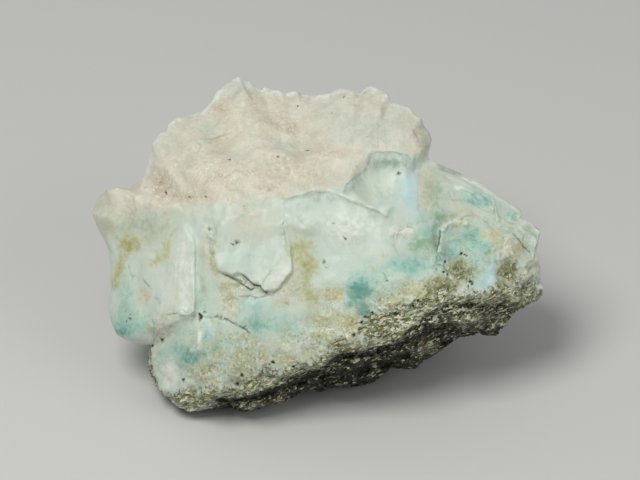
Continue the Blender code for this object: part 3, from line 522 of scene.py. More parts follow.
        "rind", (124, 100, 66), (104, 78, 46), 0.8, 0.15,
        spots=(
            (-9.5, -28.2, 2.6, 0.6, 0.8), (14.5, -17.8, 2, 0.5, 0.6), (18.5, -18, 1.4, 0.5, 0.5),
            (8.5, -21, 1.5, 0.4, 0.5), (-24, -27.4, 1.2, 0.5, 0.4), (31, -9.6, 0.9, 0.8, 0.5),
            (22.4, -13.2, 1.6, 0.5, 0.4),
        ),
    ),
}
# Mottled places on the lower part of the face, and the gritty crust where it meets the rind.
MOTTLE = (
    (-19, -23.6, 4.6, 2.6, 0.9), (-13, -21.6, 4.4, 3.4, 0.9), (-6, -21.4, 4, 2.6, 0.8),
    (0.5, -17.6, 4.6, 3.2, 0.95), (5, -16, 3, 3.6, 0.9), (12, -11.4, 4.6, 2.4, 0.8),
    (16.5, -9.4, 3.4, 2.4, 0.8), (22, -7.6, 3.4, 2.2, 0.8), (25.2, -5.4, 2.2, 2, 0.8),
    (34.4, -6, 2.4, 3, 0.8), (2.4, -11, 3, 2.6, 0.6), (-27.2, -15.4, 1.4, 2.2, 0.5),
    (-15.8, -10.4, 1.6, 3, 0.6), (21.2, -4.4, 1.2, 1.9, 0.6), (-5.6, -9.4, 2.2, 2.6, 0.4),
    (29.5, -9.4, 2.4, 1.4, 0.5), (-20, -18.5, 3.6, 3.4, 0.6), (-13, -18.6, 4.6, 2.8, 0.7),
    (-4, -17.8, 3.6, 2.4, 0.7),
)
CRUST = (
    (-21, -28.6, 6.4, 1.9, 1), (-14, -27.6, 3.4, 1.4, 0.8), (-12, -25.4, 3, 1.4, 0.8),
    (-9.4, -23.6, 2.4, 1.6, 0.6), (11, -15.8, 3.6, 3, 0.95), (14.8, -14, 4.4, 2.4, 0.9),
    (20.6, -11.2, 3.4, 1.8, 0.9), (27, -11.6, 3.8, 1.2, 0.8), (33.4, -10, 4, 1.5, 0.85),
    (4.4, -18.8, 2.6, 1.6, 0.7), (-3, -22.8, 2.6, 1, 0.6), (7.2, -18.4, 2.4, 1.1, 0.8),
    (17, -12, 2.4, 1.4, 0.8), (37, -8.4, 2.2, 1.7, 0.6), (32.4, -9.4, 2.4, 1.2, 0.7),
    (24.9, -5.7, 1.7, 1.4, 0.55), (33.6, -5.7, 1.5, 1.8, 0.55), (21.4, -8.8, 2.3, 1.3, 0.6),
)
CRUST_LINES = (
    (MATRIX_EDGE[2:], 1.9, 0.8),
    (((-30.6, -19.2), (-30.8, -22), (-29.8, -25), (-28.4, -27.4)), 0.45, 0.8),
)
# Smooth lobes of the cap, and places where the band is broken into rubble.
CALM = ((-38, 6, 4, 3.6, 0.85), (10, 19, 9, 5, 0.65), (-19, 12.6, 6, 3.4, 0.45))
RUBBLE = (
    (24, -4, 5, 4, 0.8), (33, -4, 5, 6, 0.9), (36, 2, 3, 3, 0.6), (24, 3.4, 4, 1.4, 0.7),
    (15, 1.2, 2.4, 1.2, 0.6), (-19.4, 0, 1.2, 4, 0.6), (-16, -10, 2, 4, 0.6), (-13, -8, 3, 1.4, 0.8),
    (2, -10, 3, 1.6, 0.5), (-28, -16, 2.6, 3, 0.7), (-19, -22, 9, 5, 0.7), (-6, -20, 6, 5, 0.6),
    (4, -15, 6, 4, 0.6), (14, -10, 5, 3, 0.6), (-30, -23, 2, 5, 0.9),
)
# Fans of fibres: the middle of the place that each one fills, where its fibres start, and
# how many fibre widths lie along one radius.
FANS = (
    ((6, -3, 12), (7.1, -10.4, 10), 16),
    ((14, 8, 8), (7, -12, 2), 34),
    ((-13, 0, 14), (-8, 42, 10), 70),
    ((-29, -6, 6), (-30, 60, 6), 110),
    ((-22, -19, 10), (-15, -8, 8), 24),
    ((-4, -17, 12), (-12, -12, 10), 20),
    ((27, 6, 4), (60, -14, 0), 80),
    ((27, -5, 8), (26, 2, 6), 18),
    ((0, 18, 0), (-4, 50, 4), 60),
    ((-24, 0, -24), (-10, -8, -26), 26),
    ((4, 6, -28), (8, -12, -30), 30),
    ((26, 0, -20), (36, 12, -22), 26),
    ((36, 0, -4), (30, -14, -6), 22),
    ((-36, 0, -8), (-34, 16, -10), 24),
)


def smooth(value):
    """An even ramp from 0 to 1 as the value goes from 0 to 1."""
    value = np.clip(value, 0.0, 1.0)
    return value * value * (3.0 - 2.0 * value)


def bell(gap, width):
    """1 on a line, easing to 0 on both sides."""
    return np.exp(-((gap / width) ** 2))


def blot(gap):
    """1 in the middle of a patch or stroke, easing through a half at its edge."""
    return np.exp(-0.7 * gap ** 2.6)


def faded(share, run):
    """1 along a line, easing to 0 over this share of its length at either end."""
    return smooth(share / run) * smooth((1.0 - share) / run)


def to_face(points):
    """Millimetres on the face from metres in the part's frame."""
    return turn_to_face(points / MM - FACE_ZERO)


def from_face(points):
    """Metres in the part's frame from millimetres on the face."""
    u, v, w = points.T
    turned = np.stack((u, v * LEAN_SIN - w * LEAN_COS, v * LEAN_COS + w * LEAN_SIN), axis=1)
    return (turned + FACE_ZERO) * MM


def turn_to_face(ways):
    """Directions turned from the part's frame to the face frame."""
    x, y, z = ways.T
    return np.stack((x, y * LEAN_SIN + z * LEAN_COS, z * LEAN_SIN - y * LEAN_COS), axis=1)


def cloud(points, size, seed, octaves=3):
    """Soft uneven noise from about -1 to 1, with lumps of about this size in millimetres."""
    shift = Vector((17.3 * seed, 5.1 * seed, -9.7 * seed))
    return np.array([noise.fractal(Vector(p) / size + shift, 0.7, 2.1, octaves) for p in points])


def chips(points, size, seed):
    """Small broken facets from about -1 to 1: each cell of this size tilts its own way."""
    shift = Vector((11.9 * seed, -7.3 * seed, 3.7 * seed))
    heights = np.empty(len(points))
    for index, point in enumerate(points):
        place = Vector(point) / size + shift
        gaps, cells = noise.voronoi(place)
        share = min(1.0, 0.5 + (gaps[1] - gaps[0]) / 0.3)
        height = 0.0
        for cell, weight in ((cells[0], share), (cells[1], 1.0 - share)):
            tilt = noise.cell_vector(cell * 13.0) - Vector((0.5, 0.5, 0.5))
            step = noise.cell(cell * 29.0) - 0.5
            height += weight * (2.2 * (place - cell).dot(tilt) + 0.8 * step)
        heights[index] = height
    return heights


def along(line, u, v):
    """Distance to an open line, positive on the left of its way, and the share of its length."""
    nearest = np.full(len(u), 1e9)
    side = np.ones(len(u))
    share = np.zeros(len(u))
    lengths = [math.dist(start, end) for start, end in zip(line, line[1:])]
    passed = 0.0
    for (u0, v0), (u1, v1), length in zip(line, line[1:], lengths):
        du, dv = (u1 - u0) / length, (v1 - v0) / length
        run = np.clip((u - u0) * du + (v - v0) * dv, 0.0, length)
        gap = np.hypot(u - u0 - run * du, v - v0 - run * dv)
        closer = gap < nearest
        nearest = np.where(closer, gap, nearest)
        side = np.where(closer, np.sign(du * (v - v0) - dv * (u - u0)), side)
        share = np.where(closer, (passed + run) / sum(lengths), share)
        passed += length
    return nearest * side, share


def fine_copy(node):
    """A fine, even mesh of the solid with its facets eased."""
    shape = bmesh.new()
    shape.from_mesh(node.data)
    bmesh.ops.remove_doubles(shape, verts=shape.verts, dist=1e-6)
    mesh = bpy.data.meshes.new("stone")
    shape.to_mesh(mesh)
    shape.free()
    stone = bpy.data.objects.new("stone", mesh)
    bpy.context.scene.collection.objects.link(stone)
    cells = stone.modifiers.new("cells", "REMESH")
    cells.mode = "VOXEL"
    cells.voxel_size = VOXEL * MM
    ease = stone.modifiers.new("ease", "SMOOTH")
    ease.factor = 0.5
    ease.iterations = EASING
    settle(stone)
    return stone


def settle(piece):
    """Replaces a piece's mesh with what its modifiers make of it."""
    graph = bpy.context.evaluated_depsgraph_get()
    before = piece.data
    piece.data = bpy.data.meshes.new_from_object(piece.evaluated_get(graph))
    piece.modifiers.clear()
    bpy.data.meshes.remove(before)


def read_points(mesh):
    values = np.empty(len(mesh.vertices) * 3)
    mesh.vertices.foreach_get("co", values)
    return values.reshape(-1, 3)


def read_normals(mesh):
    values = np.empty(len(mesh.vertices) * 3, dtype=np.float32)
    mesh.vertex_normals.foreach_get("vector", values)
    return values.reshape(-1, 3).astype(float)


def write_points(mesh, points):
    mesh.vertices.foreach_set("co", points.ravel())
    mesh.update()


def set_mask(mesh, name, values):
    mask = mesh.attributes.get(name) or mesh.attributes.new(name, "FLOAT", "POINT")
    mask.data.foreach_set("value", values.astype(np.float32))


def set_vectors(mesh, name, values):
    ways = mesh.attributes.new(name, "FLOAT_VECTOR", "POINT")
    ways.data.foreach_set("vector", values.astype(np.float32).ravel())


def get_mask(mesh, name):
    values = np.empty(len(mesh.vertices), dtype=np.float32)
    mesh.attributes[name].data.foreach_get("value", values)
    return values.astype(float)


def zones(points, front):
    """Shares of cap, rind and band at each point: drawn lines in front, the bedding elsewhere."""
    u, v = points[:, 0], points[:, 1]
    wander = 1.1 * cloud(points, 5.0, 1) + 0.5 * cloud(points, 1.3, 2, 2)
    height = points @ BEDDING + 2.0 * wander
    cream, _ = along(CREAM_EDGE, u, v)
    matrix, _ = along(MATRIX_EDGE, u, v)
    cap = front * smooth((cream + wander) / 2.4 + 0.5)
    cap += (1.0 - front) * smooth((height - CAP_LEVEL) / 4.0 + 0.5)
    rind = front * smooth((-matrix + 0.5 * wander) / 1.0 + 0.5)
    rind += (1.0 - front) * smooth((RIND_LEVEL - height) / 2.0 + 0.5)
    return cap, rind


def face_relief(u, v):
    """Height of the broken edges, cracks, gaps and lumps drawn on the broad face."""
    relief = np.zeros(len(u))
    for line, rise, width, edge in BRINKS:
        gap, share = along(line, u, v)
        crisp = smooth(gap / edge + 0.5) - smooth(gap / (2.0 * width) + 0.5)
        relief += rise * crisp * faded(share, 0.1)
    for line, rise, reach in FILLS:
        gap, share = along(line, u, v)
        filled = smooth(0.5 - gap / 0.2) * smooth(1.0 + gap / reach)
        relief += rise * filled * faded(share, 0.15)
    for line, depth, width in CRACKS + GAPS:
        gap, share = along(line, u, v)
        relief -= depth * faded(share, 0.15) * bell(gap, width)
    for place_u, place_v, half_u, half_v, height in LUMPS:
        gap = np.hypot((u - place_u) / half_u, (v - place_v) / half_v)
        relief += height * np.exp(-0.7 * gap ** 2)
    return relief


def fit_outline(points):
    """Moves the points near the rim along the face until the outline is seen from in front.

    Points that lie deeper look smaller from the viewing distance, so they move out a little
    further.
    """
    flat = points[:, :2] - MIDDLE[:2]
    angle = np.arctan2(flat[:, 1], flat[:, 0])
    radius = np.linalg.norm(flat, axis=1)
    slot = ((angle / (2.0 * math.pi)) % 1.0 * RIM_SLOTS).astype(int) % RIM_SLOTS
    rim = np.zeros(RIM_SLOTS)
    np.maximum.at(rim, slot, radius)
    rim = sum(np.roll(rim, shift) for shift in range(-2, 3)) / 5.0
    middles = (np.arange(RIM_SLOTS) + 0.5) / RIM_SLOTS * 2.0 * math.pi
    rim_at = np.interp(angle, middles, rim, period=2.0 * math.pi)
    corners = np.array(OUTLINE) - MIDDLE[:2]
    corner_angle = np.arctan2(corners[:, 1], corners[:, 0])
    order = np.argsort(corner_angle)
    reach = np.linalg.norm(corners, axis=1)
    wanted = np.interp(angle, corner_angle[order], reach[order], period=2.0 * math.pi)
    wanted *= 1.0 - points[:, 2] / VIEW_DISTANCE
    share = smooth((radius / rim_at - RIM_START) / (1.0 - RIM_START))
    scale = np.minimum(1.0 + (wanted / rim_at - 1.0) * share, wanted / np.maximum(radius, 1.0))
    moved = points.copy()
    moved[:, :2] = MIDDLE[:2] + flat * scale[:, None]
    return moved


def near_lines(points, reach):
    """True for each point of the broad face within this reach of a drawn crack, brink or dot."""
    u, v = points[:, 0], points[:, 1]
    near = np.zeros(len(u), dtype=bool)
    for line, *_ in CRACKS + BRINKS:
        near |= np.abs(along(line, u, v)[0]) < reach
    for dot_u, dot_v, _ in DOTS:
        near |= np.hypot(u - dot_u, v - dot_v) < reach
    return near


def refine(mesh, reach):
    """Splits the faces of the broad face that lie near drawn lines, for crisp edges there."""
    near = near_lines(to_face(read_points(mesh)), reach) & (get_mask(mesh, "front") > 0.5)
    shape = bmesh.new()
    shape.from_mesh(mesh)
    shape.verts.ensure_lookup_table()
    edges = [edge for edge in shape.edges if near[edge.verts[0].index] and near[edge.verts[1].index]]
    bmesh.ops.subdivide_edges(shape, edges=edges, cuts=1)
    bmesh.ops.triangulate(shape, faces=[face for face in shape.faces if len(face.verts) > 3])
    shape.to_mesh(mesh)
    shape.free()


def flattened(points, share):
    """The points drawn out along the bedding, so that cells found on them lie flat in it."""
    return points + (1.0 / share - 1.0) * (points @ BEDDING)[:, None] * BEDDING


def roughened(points, cap, rind):
    """Height along the normals of the lumps, chips and layers that each zone is broken into."""
    u, v = points[:, 0], points[:, 1]
    band = np.clip(1.0 - cap - rind, 0.0, 1.0)
    calm = 1.0 - np.maximum(spots(CALM, u, v), 0.0) * smooth(points[:, 2] / 6.0 + 1.0)
    crust = spots(CRUST, u, v) * band
    layers = (points @ BEDDING + LAYER_WAVE * cloud(points, 6.0, 5)) / LAYER
    ledge = layers - np.floor(layers) - 0.5
    flat = flattened(points, 0.5)
    relief = cap * calm * (0.24 * cloud(points, 4.4, 7, 3) + 0.05 * cloud(points, 1.4, 14, 3))
    relief += cap * calm * (0.12 * chips(points, 2.6, 8) + 0.03 * chips(points, 0.9, 9))
    relief += band * (0.20 * cloud(points, 5.0, 10, 3) + 0.09 * chips(points, 3.4, 11))
    grit = 0.42 * chips(flat, 2.6, 12) + 0.16 * chips(flat, 1.2, 13)
    relief += rind * (LEDGE * ledge + grit) + 0.55 * crust * grit
    small = chips(points, 0.8, 16)
    relief += spots(RUBBLE, u, v) * band * (0.22 * chips(points, 1.6, 15) + 0.12 * small)
    for line, width, height in CRESTS:
        gap, _ = along(line, u, v)
        relief += band * height * (0.6 + 0.9 * small) * bell(gap, width)
    return relief


def shape_stone(node):
    """The stone's mesh: its form from the solid, and the relief of each zone and drawn line."""
    stone = fine_copy(node)
    points = to_face(read_points(stone.data))
    normals = turn_to_face(read_normals(stone.data))
    front = smooth(normals[:, 2] / 0.3 + 0.8)
    cap, rind = zones(points, front)
    relief = roughened(points, cap, rind)
    points = fit_outline(points + normals * relief[:, None])
    write_points(stone.data, on_base(from_face(points)))
    set_mask(stone.data, "front", front)
    set_mask(stone.data, "facing", smooth(normals[:, 2] / 0.4))

    thin = stone.modifiers.new("thin", "DECIMATE")
    thin.ratio = TRIANGLES / sum(len(face.vertices) - 2 for face in stone.data.polygons)
    settle(stone)
    for reach in SPLIT_REACHES:
        refine(stone.data, reach)
    points = to_face(read_points(stone.data))
    points[:, 2] += face_relief(points[:, 0], points[:, 1]) * get_mask(stone.data, "facing")
    write_points(stone.data, on_base(from_face(points)))
    stone.data.shade_smooth()
    return stone


def on_base(points):
    """Sets the points that are at the base, or would be below it, on its flat."""
    points[points[:, 2] < BASE_SNAP * MM, 2] = 0.0
    return points


def spots(patches, u, v):
    """Strength from 0 to 1 of soft oval patches: place, half width, half height, strength."""
    mask = np.zeros(len(u))
    for place_u, place_v, half_u, half_v, strength in patches:
        gap = np.hypot((u - place_u) / half_u, (v - place_v) / half_v)
        mask = np.maximum(mask, strength * blot(gap))
    return mask


def strokes(lines, u, v):
    """Strength from 0 to 1 of soft lines: the line, its half width and strength."""
    mask = np.zeros(len(u))
    for line, width, strength in lines:
        gap, _ = along(line, u, v)
        mask = np.maximum(mask, strength * blot(np.abs(gap) / width))
    return mask


def banks(lines, u, v):
    """Strength from 0 to 1 of shades that start at a line and fade out on its left."""
    mask = np.zeros(len(u))
    for line, reach, strength in lines:
        gap, share = along(line, u, v)
        fade = smooth(gap / 0.25 + 0.5) * np.exp(-np.maximum(gap, 0.0) / reach)
        mask = np.maximum(mask, strength * fade * faded(share, 0.12))
    return mask


def marks(u, v):
    """Black dots, and the dark colour in the cracks: partly their own dark olive and partly painted shade,
    stronger where a crack is deeper.
    """
    dots = np.zeros(len(u))
    cracks = np.zeros(len(u))
    for dot_u, dot_v, radius in DOTS:
        gap = np.hypot(u - dot_u, v - dot_v)
        dots = np.maximum(dots, smooth((radius - gap) / 0.10 + 0.5))
    for line, depth, width in CRACKS:
        gap, share = along(line, u, v)
        # Deeper cracks get more painted shade.
        strength = min(1.0, 2.2 * depth)
        cracks = np.maximum(cracks, strength * faded(share, 0.15) * bell(gap, width))
    return dots, cracks


def fibres(points):
    """Coordinates whose noise makes fibres that spread from the centre of each fan.

    Two of them run round the fan and one along it, so that noise on them is drawn out
    away from its centre.
    """
    homes = np.array([home for home, centre, spacing in FANS])
    centres = np.array([centre for home, centre, spacing in FANS])
    spacings = np.array([spacing for home, centre, spacing in FANS])
    wander = np.stack([2.0 * cloud(points, 6.0, 20 + axis, 2) for axis in range(3)], axis=1)
    gaps = np.linalg.norm((points + wander)[:, None, :] - homes[None, :, :], axis=2)
    fan = gaps.argmin(axis=1)
    away = points - centres[fan]
    reach = np.linalg.norm(away, axis=1, keepdims=True)
    return away / reach * spacings[fan][:, None] + fan[:, None] * 9.0 + reach / 7.0


def paint(stone):
    """Writes the masks that the material reads."""
    mesh = stone.data
    points = to_face(read_points(mesh))
    front = get_mask(mesh, "front")
    cap, rind = zones(points, front)
    band = np.clip(1.0 - cap - rind, 0.0, 1.0)
    u = points[:, 0] + 0.55 * cloud(points, 3.0, 30) + 0.22 * cloud(points, 0.9, 31, 2)
    v = points[:, 1] + 0.55 * cloud(points, 3.0, 32) + 0.22 * cloud(points, 0.9, 33, 2)
    line_u = points[:, 0] + 0.12 * cloud(points, 0.9, 35, 2)
    line_v = points[:, 1] + 0.12 * cloud(points, 0.9, 36, 2)

    zone = {"band": band, "cap": cap, "both": band + cap, "rind": rind, "none": 0.0 * band}
    for number, (name, tone) in enumerate(TONES.items()):
        drawn = np.maximum(spots(tone.spots, u, v), strokes(tone.strokes, line_u, line_v))
        drawn = np.maximum(drawn, banks(tone.banks, line_u, line_v))
        grown = 0.75 * smooth((cloud(points, REAR_CLOUD, 40 + number, 5) - 0.55 + tone.share) / 0.9)
        set_mask(mesh, name, front * drawn + (1.0 - front) * zone[tone.zone] * grown)

    dots, cracks = marks(line_u, line_v)
    # Painted shade in the rind's gaps, darker where a gap is deeper.
    gaps = [(line, 1.2 * width, min(1.0, 1.5 * depth)) for line, depth, width in GAPS]
    set_mask(mesh, "cap", cap)
    set_mask(mesh, "rind", rind)
    set_mask(mesh, "dots", front * dots)
    set_mask(mesh, "cracks", front * cracks)
    set_mask(mesh, "gaps", front * strokes(gaps, line_u, line_v))
    # Painted shade: how much the surface faces down, for a darker underside of the rind.
    set_mask(mesh, "under", smooth(0.15 - read_normals(mesh)[:, 2]))

    above_rind = points @ BEDDING - RIND_LEVEL - 4.0
    near_rind = smooth((2.0 * cloud(points, 3.0, 34) - above_rind) / 4.0 + 0.5)
    drawn = np.maximum(spots(CRUST, u, v), strokes(CRUST_LINES, u, v))
    set_mask(mesh, "crust", front * drawn + (1.0 - front) * band * near_rind)
    clean = np.maximum.reduce([get_mask(mesh, name) for name in ("blue", "teal", "moss", "white_and_highlight")])
    drawn = np.maximum(spots(MOTTLE, u, v), 0.6 * spots(RUBBLE, u, v)) * (1.0 - 0.8 * clean)
    set_mask(mesh, "mottle", front * drawn + (1.0 - front) * band * smooth(near_rind * 2.0))
    set_vectors(mesh, "fibres", fibres(points))
    set_vectors(mesh, "layers", flattened(points, 0.42))


def plain_material(name, colour, roughness):
    material = bpy.data.materials.new(name)
    material.use_nodes = True
    shader = material.node_tree.nodes["Principled BSDF"]
    shader.inputs["Base Color"].default_value = (*colour, 1.0)
    shader.inputs["Roughness"].default_value = roughness
    return material


def tint(red, green, blue):
    """A colour for the shader from its values as seen on a screen, 0 to 255."""
    return tuple(((value / 255.0 + 0.055) / 1.055) ** 2.4 for value in (red, green, blue)) + (1.0,)


class Look:
    """A material under construction: each method adds nodes and returns their output."""

    def __init__(self, name):
        self.material = bpy.data.materials.new(name)
        self.material.use_nodes = True
        self.tree = self.material.node_tree
        self.shader = self.tree.nodes["Principled BSDF"]

    def node(self, kind, inputs, output=0, **settings):
        node = self.tree.nodes.new(kind)
        for name, value in settings.items():
            setattr(node, name, value)
        for key, value in inputs.items():
            if isinstance(value, bpy.types.NodeSocket):
                self.tree.links.new(value, node.inputs[key])
            else:
                node.inputs[key].default_value = value
        return node.outputs[output]

    def mask(self, name):
        return self.node("ShaderNodeAttribute", {}, "Fac", attribute_name=name)

    def ways(self, name):
        return self.node("ShaderNodeAttribute", {}, "Vector", attribute_name=name)

    def place(self):
        """The place on the stone in millimetres."""
        return self.scaled(self.node("ShaderNodeTexCoord", {}, "Object"), 1000.0)

    def combined(self, operation, first, second=0.0):
        return self.node("ShaderNodeMath", {0: first, 1: second}, operation=operation)

    def sum(self, first, second):
        return self.combined("ADD", first, second)

    def times(self, first, second):
        return self.combined("MULTIPLY", first, second)

    def vector(self, operation, first, second, output=0):
        return self.node("ShaderNodeVectorMath", {0: first, 1: second}, output, operation=operation)

    def scaled(self, vector, factor):
        return self.node("ShaderNodeVectorMath", {0: vector, 3: factor}, operation="SCALE")

    def cloud(self, where, size, detail=3.0, rough=0.55, twist=0.0):
        inputs = {
            "Vector": where, "Scale": 1.0 / size, "Detail": detail, "Roughness": rough,
            "Distortion": twist,
        }
        return self.node("ShaderNodeTexNoise", inputs, "Fac")

    def grains(self, where, size, output="Color"):
        return self.node("ShaderNodeTexVoronoi", {"Vector": where, "Scale": 1.0 / size}, output)

    def facets(self, where, size):
        """Height of small broken facets: each cell of this size tilts its own way."""
        tilt = self.vector("SUBTRACT", self.grains(where, size), (0.5, 0.5, 0.5))
        offset = self.vector("SUBTRACT", where, self.grains(where, size, "Position"))
        return self.vector("DOT_PRODUCT", tilt, offset, "Value")

    def warp(self, where, size, reach):
        """The place shifted by up to this reach in soft noise of this size."""
        inputs = {"Vector": where, "Scale": 1.0 / size, "Detail": 2.0}
        shift = self.node("ShaderNodeTexNoise", inputs, "Color")
        shift = self.vector("SUBTRACT", shift, (0.5, 0.5, 0.5))
        return self.vector("ADD", where, self.scaled(shift, 2.0 * reach))

    def contour(self, value, width):
        """A thin line where the value passes through its middle."""
        gap = self.combined("ABSOLUTE", self.combined("SUBTRACT", value, 0.5))
        return self.ramp(gap, 0.0, width, 1.0, 0.0)

    def ramp(self, value, start, end, low=0.0, high=1.0):
        inputs = {0: value, 1: start, 2: end, 3: low, 4: high}
        return self.node("ShaderNodeMapRange", inputs, interpolation_type="SMOOTHSTEP")

    def channel(self, grains, number):
        """One of the three random values that each grain has."""
        return self.node("ShaderNodeSeparateColor", {0: grains}, number)

    def some(self, grains, number, start, end, low=0.0, high=1.0):
        """A ramp over one of the random values of the grains."""
        return self.ramp(self.channel(grains, number), start, end, low, high)

    def over(self, under, colour, share):
        """The second colour laid over the first by this share, each as a socket or a tint."""
        under, colour = [tint(*item) if isinstance(item, tuple) else item for item in (under, colour)]
        return self.node("ShaderNodeMix", {0: share, 6: under, 7: colour}, 2, data_type="RGBA")

    def blend(self, first, second, share):
        return self.node("ShaderNodeMix", {0: share, 2: first, 3: second}, 0, data_type="FLOAT")


class Larimar(Look):
    """The stone's material, with sizes in millimetres and colours as seen on a screen."""

    def __init__(self):
        super().__init__("larimar")
        self.where = self.place()
        self.fibre = self.ways("fibres")
        self.layer = self.warp(self.ways("layers"), 1.3, 0.8)
        self.broad = self.cloud(self.where, 5.0, 3.0)
        self.fine = self.cloud(self.where, 0.9, 5.0, 0.65)
        self.dust = self.cloud(self.where, 0.22, 3.0, 0.7)
        self.strands = self.cloud(self.fibre, 1.0, 4.0, 0.6, 0.3)
        self.sheaves = self.cloud(self.fibre, 3.5, 3.0, 0.55, 0.4)
        # Thin curling lines: painted as bright highlights in the mottle, and part of the bump.
        self.curls = self.contour(self.cloud(self.where, 1.1, 3.0, 0.5, 1.4), 0.035)
        self.sugar = self.grains(self.where, 0.34)
        self.granule = self.grains(self.where, 0.62)
        self.flake = self.grains(self.layer, 1.5)
        self.splinter = self.grains(self.layer, 0.62)
        self.fold = self.cloud(self.layer, 1.3, 4.0, 0.65, 0.4)
        self.seam = self.cloud(self.layer, 3.2, 5.0, 0.62, 0.5)
        self.mottle = self.mask("mottle")
        self.crust = self.drawn("crust", 1.0, 0.6)
        self.rind = self.drawn("rind", 1.0, 0.5)
        self.gritty = self.combined("MAXIMUM", self.crust, self.rind)

    def drawn(self, name, rim, spread):
        """A mask with its edge broken up by noise."""
        uneven = self.sum(self.mask(name), self.ramp(self.fine, 0.3, 0.7, -0.5 * spread, 0.5 * spread))
        uneven = self.sum(uneven, self.ramp(self.strands, 0.3, 0.7, -0.4 * spread, 0.4 * spread))
        share = self.ramp(uneven, 0.2 * rim, 1.0 - 0.25 * rim)
        return self.times(share, self.ramp(self.mask(name), 0.0, 0.25))

    def toned(self, colour, on_rind, strength):
        """The tones of the rind, or all others: each pale at its rim and deep in its middle."""
        for name, tone in TONES.items():
            if (tone.zone == "rind") == on_rind:
                depth = self.sum(self.mask(name), self.ramp(self.fine, 0.3, 0.7, -0.25, 0.25))
                shade = self.over(tone.pale, tone.deep, self.ramp(depth, 0.35, 0.95))
                share = self.times(self.drawn(name, tone.rim, 0.25 + 0.4 * tone.rim), strength)
                colour = self.over(colour, shade, share)
        return colour

    def ground(self):
        """The fibrous band and the sugary cap without their tones."""
        band = self.over((196, 210, 196), (207, 218, 206), self.ramp(self.broad, 0.35, 0.65))
        band = self.over(band, (176, 200, 186), self.ramp(self.sheaves, 0.52, 0.75, 0.0, 0.5))
        band = self.over(band, (226, 231, 222), self.ramp(self.strands, 0.52, 0.75, 0.0, 0.45))
        cream = self.over((208, 203, 184), (217, 214, 197), self.ramp(self.broad, 0.35, 0.65))
        cream = self.over(cream, (197, 191, 171), self.ramp(self.fine, 0.52, 0.75, 0.0, 0.35))
        cream = self.over(cream, (232, 229, 215), self.some(self.sugar, 0, 0.7, 1.0, 0.0, 0.4))
        return self.over(band, cream, self.drawn("cap", 0.0, 0.6))

    def sugared(self, colour):
        """Brown pores, and pale sugar grains with painted glints, where the cap is warm."""
        warm = self.mask("warm")
        pores = self.ramp(self.grains(self.where, 0.75, "Distance"), 0.10, 0.24, 0.4, 0.0)
        colour = self.over(colour, (140, 120, 92), self.times(pores, self.ramp(warm, 0.3, 0.9)))
        # Painted glints on the sugar grains.
        grain_glints = self.some(self.grains(self.where, 0.25), 1, 0.84, 0.94)
        grain_glints = self.times(grain_glints, self.ramp(warm, 0.1, 0.6))
        return self.over(colour, (238, 233, 219), self.times(grain_glints, 0.7))

    def mottled(self, colour):
        """Patches and grains of yellow and aqua, then dark grains, pale sugar grains, and curls painted as
        bright highlights.
        """
        yellow = self.ramp(self.cloud(self.where, 2.8, 4.0, 0.6, 0.4), 0.45, 0.58, 0.0, 0.75)
        aqua = self.ramp(self.cloud(self.fibre, 3.0, 4.0, 0.6, 0.6), 0.50, 0.64, 0.0, 0.6)
        # Pale sugar grains, and thin curls painted as highlights on small crystal fragments.
        white_and_highlight = self.combined("MAXIMUM", self.some(self.sugar, 1, 0.80, 0.90), self.curls)
        layers = (
            ((186, 184, 130), yellow),
            ((168, 202, 188), aqua),
            ((187, 185, 130), self.some(self.granule, 0, 0.54, 0.68, 0.0, 0.55)),
            ((180, 210, 197), self.some(self.granule, 1, 0.72, 0.80, 0.0, 0.45)),
            ((126, 128, 98), self.some(self.sugar, 2, 0.80, 0.92, 0.0, 0.65)),
            ((236, 238, 228), self.times(white_and_highlight, 0.75)),
        )
        for shade, share in layers:
            colour = self.over(colour, shade, self.times(share, self.mottle))
        return colour

    def crusted(self, colour):
        """The grit where the band meets the rind."""
        grit = self.over((98, 107, 68), (162, 171, 126), self.some(self.splinter, 1, 0.05, 0.9))
        grit = self.over(grit, (136, 152, 122), self.ramp(self.seam, 0.5, 0.64))
        grit = self.over(grit, (74, 78, 50), self.ramp(self.fold, 0.52, 0.64, 0.0, 0.9))
        grit = self.over(grit, (140, 130, 76), self.some(self.flake, 2, 0.70, 0.85, 0.0, 0.7))
        return self.over(colour, grit, self.crust)

    def matrix(self, colour):
        """The dark layered rock of the rind."""
        dark = self.over((26, 31, 12), (68, 75, 40), self.some(self.splinter, 2, 0.2, 0.95))
        dark = self.over(dark, (32, 33, 23), self.ramp(self.seam, 0.46, 0.60))
        dark = self.over(dark, (80, 88, 58), self.some(self.flake, 0, 0.70, 0.85))
        dark = self.over(dark, (140, 146, 104), self.ramp(self.fold, 0.56, 0.63, 0.0, 0.9))
        dark = self.over(dark, (20, 21, 12), self.ramp(self.fold, 0.38, 0.46, 0.95, 0.0))
        return self.over(colour, dark, self.rind)

    def flecked(self, colour):
        """Bright flecks, partly light grains and partly painted glints, with more of them on the crust and
        where the rind is painted as lit; and thin dark pits on the crust and the rind.
        """
        # More painted glints where the rind is painted as lit, and on the crust.
        light = self.sum(self.times(self.mask("lit"), 0.28), self.times(self.crust, 0.26))
        fleck_and_glint = self.ramp(self.sum(self.channel(self.splinter, 0), light), 0.88, 0.98)
        colour = self.over(colour, (228, 226, 198), self.times(fleck_and_glint, self.gritty))
        pit = self.contour(self.cloud(self.layer, 1.3, 3.0, 0.6, 0.6), 0.04)
        pit = self.times(pit, self.ramp(self.cloud(self.where, 2.0), 0.42, 0.56))
        return self.over(colour, (40, 42, 28), self.times(pit, self.gritty))

    def marked(self, colour):
        """Painted shade in the gaps between the rind's layers, on its downward-facing underside and in the
        cracks; then the black dots.
        """
        # Painted shade on the rind's underside.
        under = self.times(self.times(self.mask("under"), 0.88), self.rind)
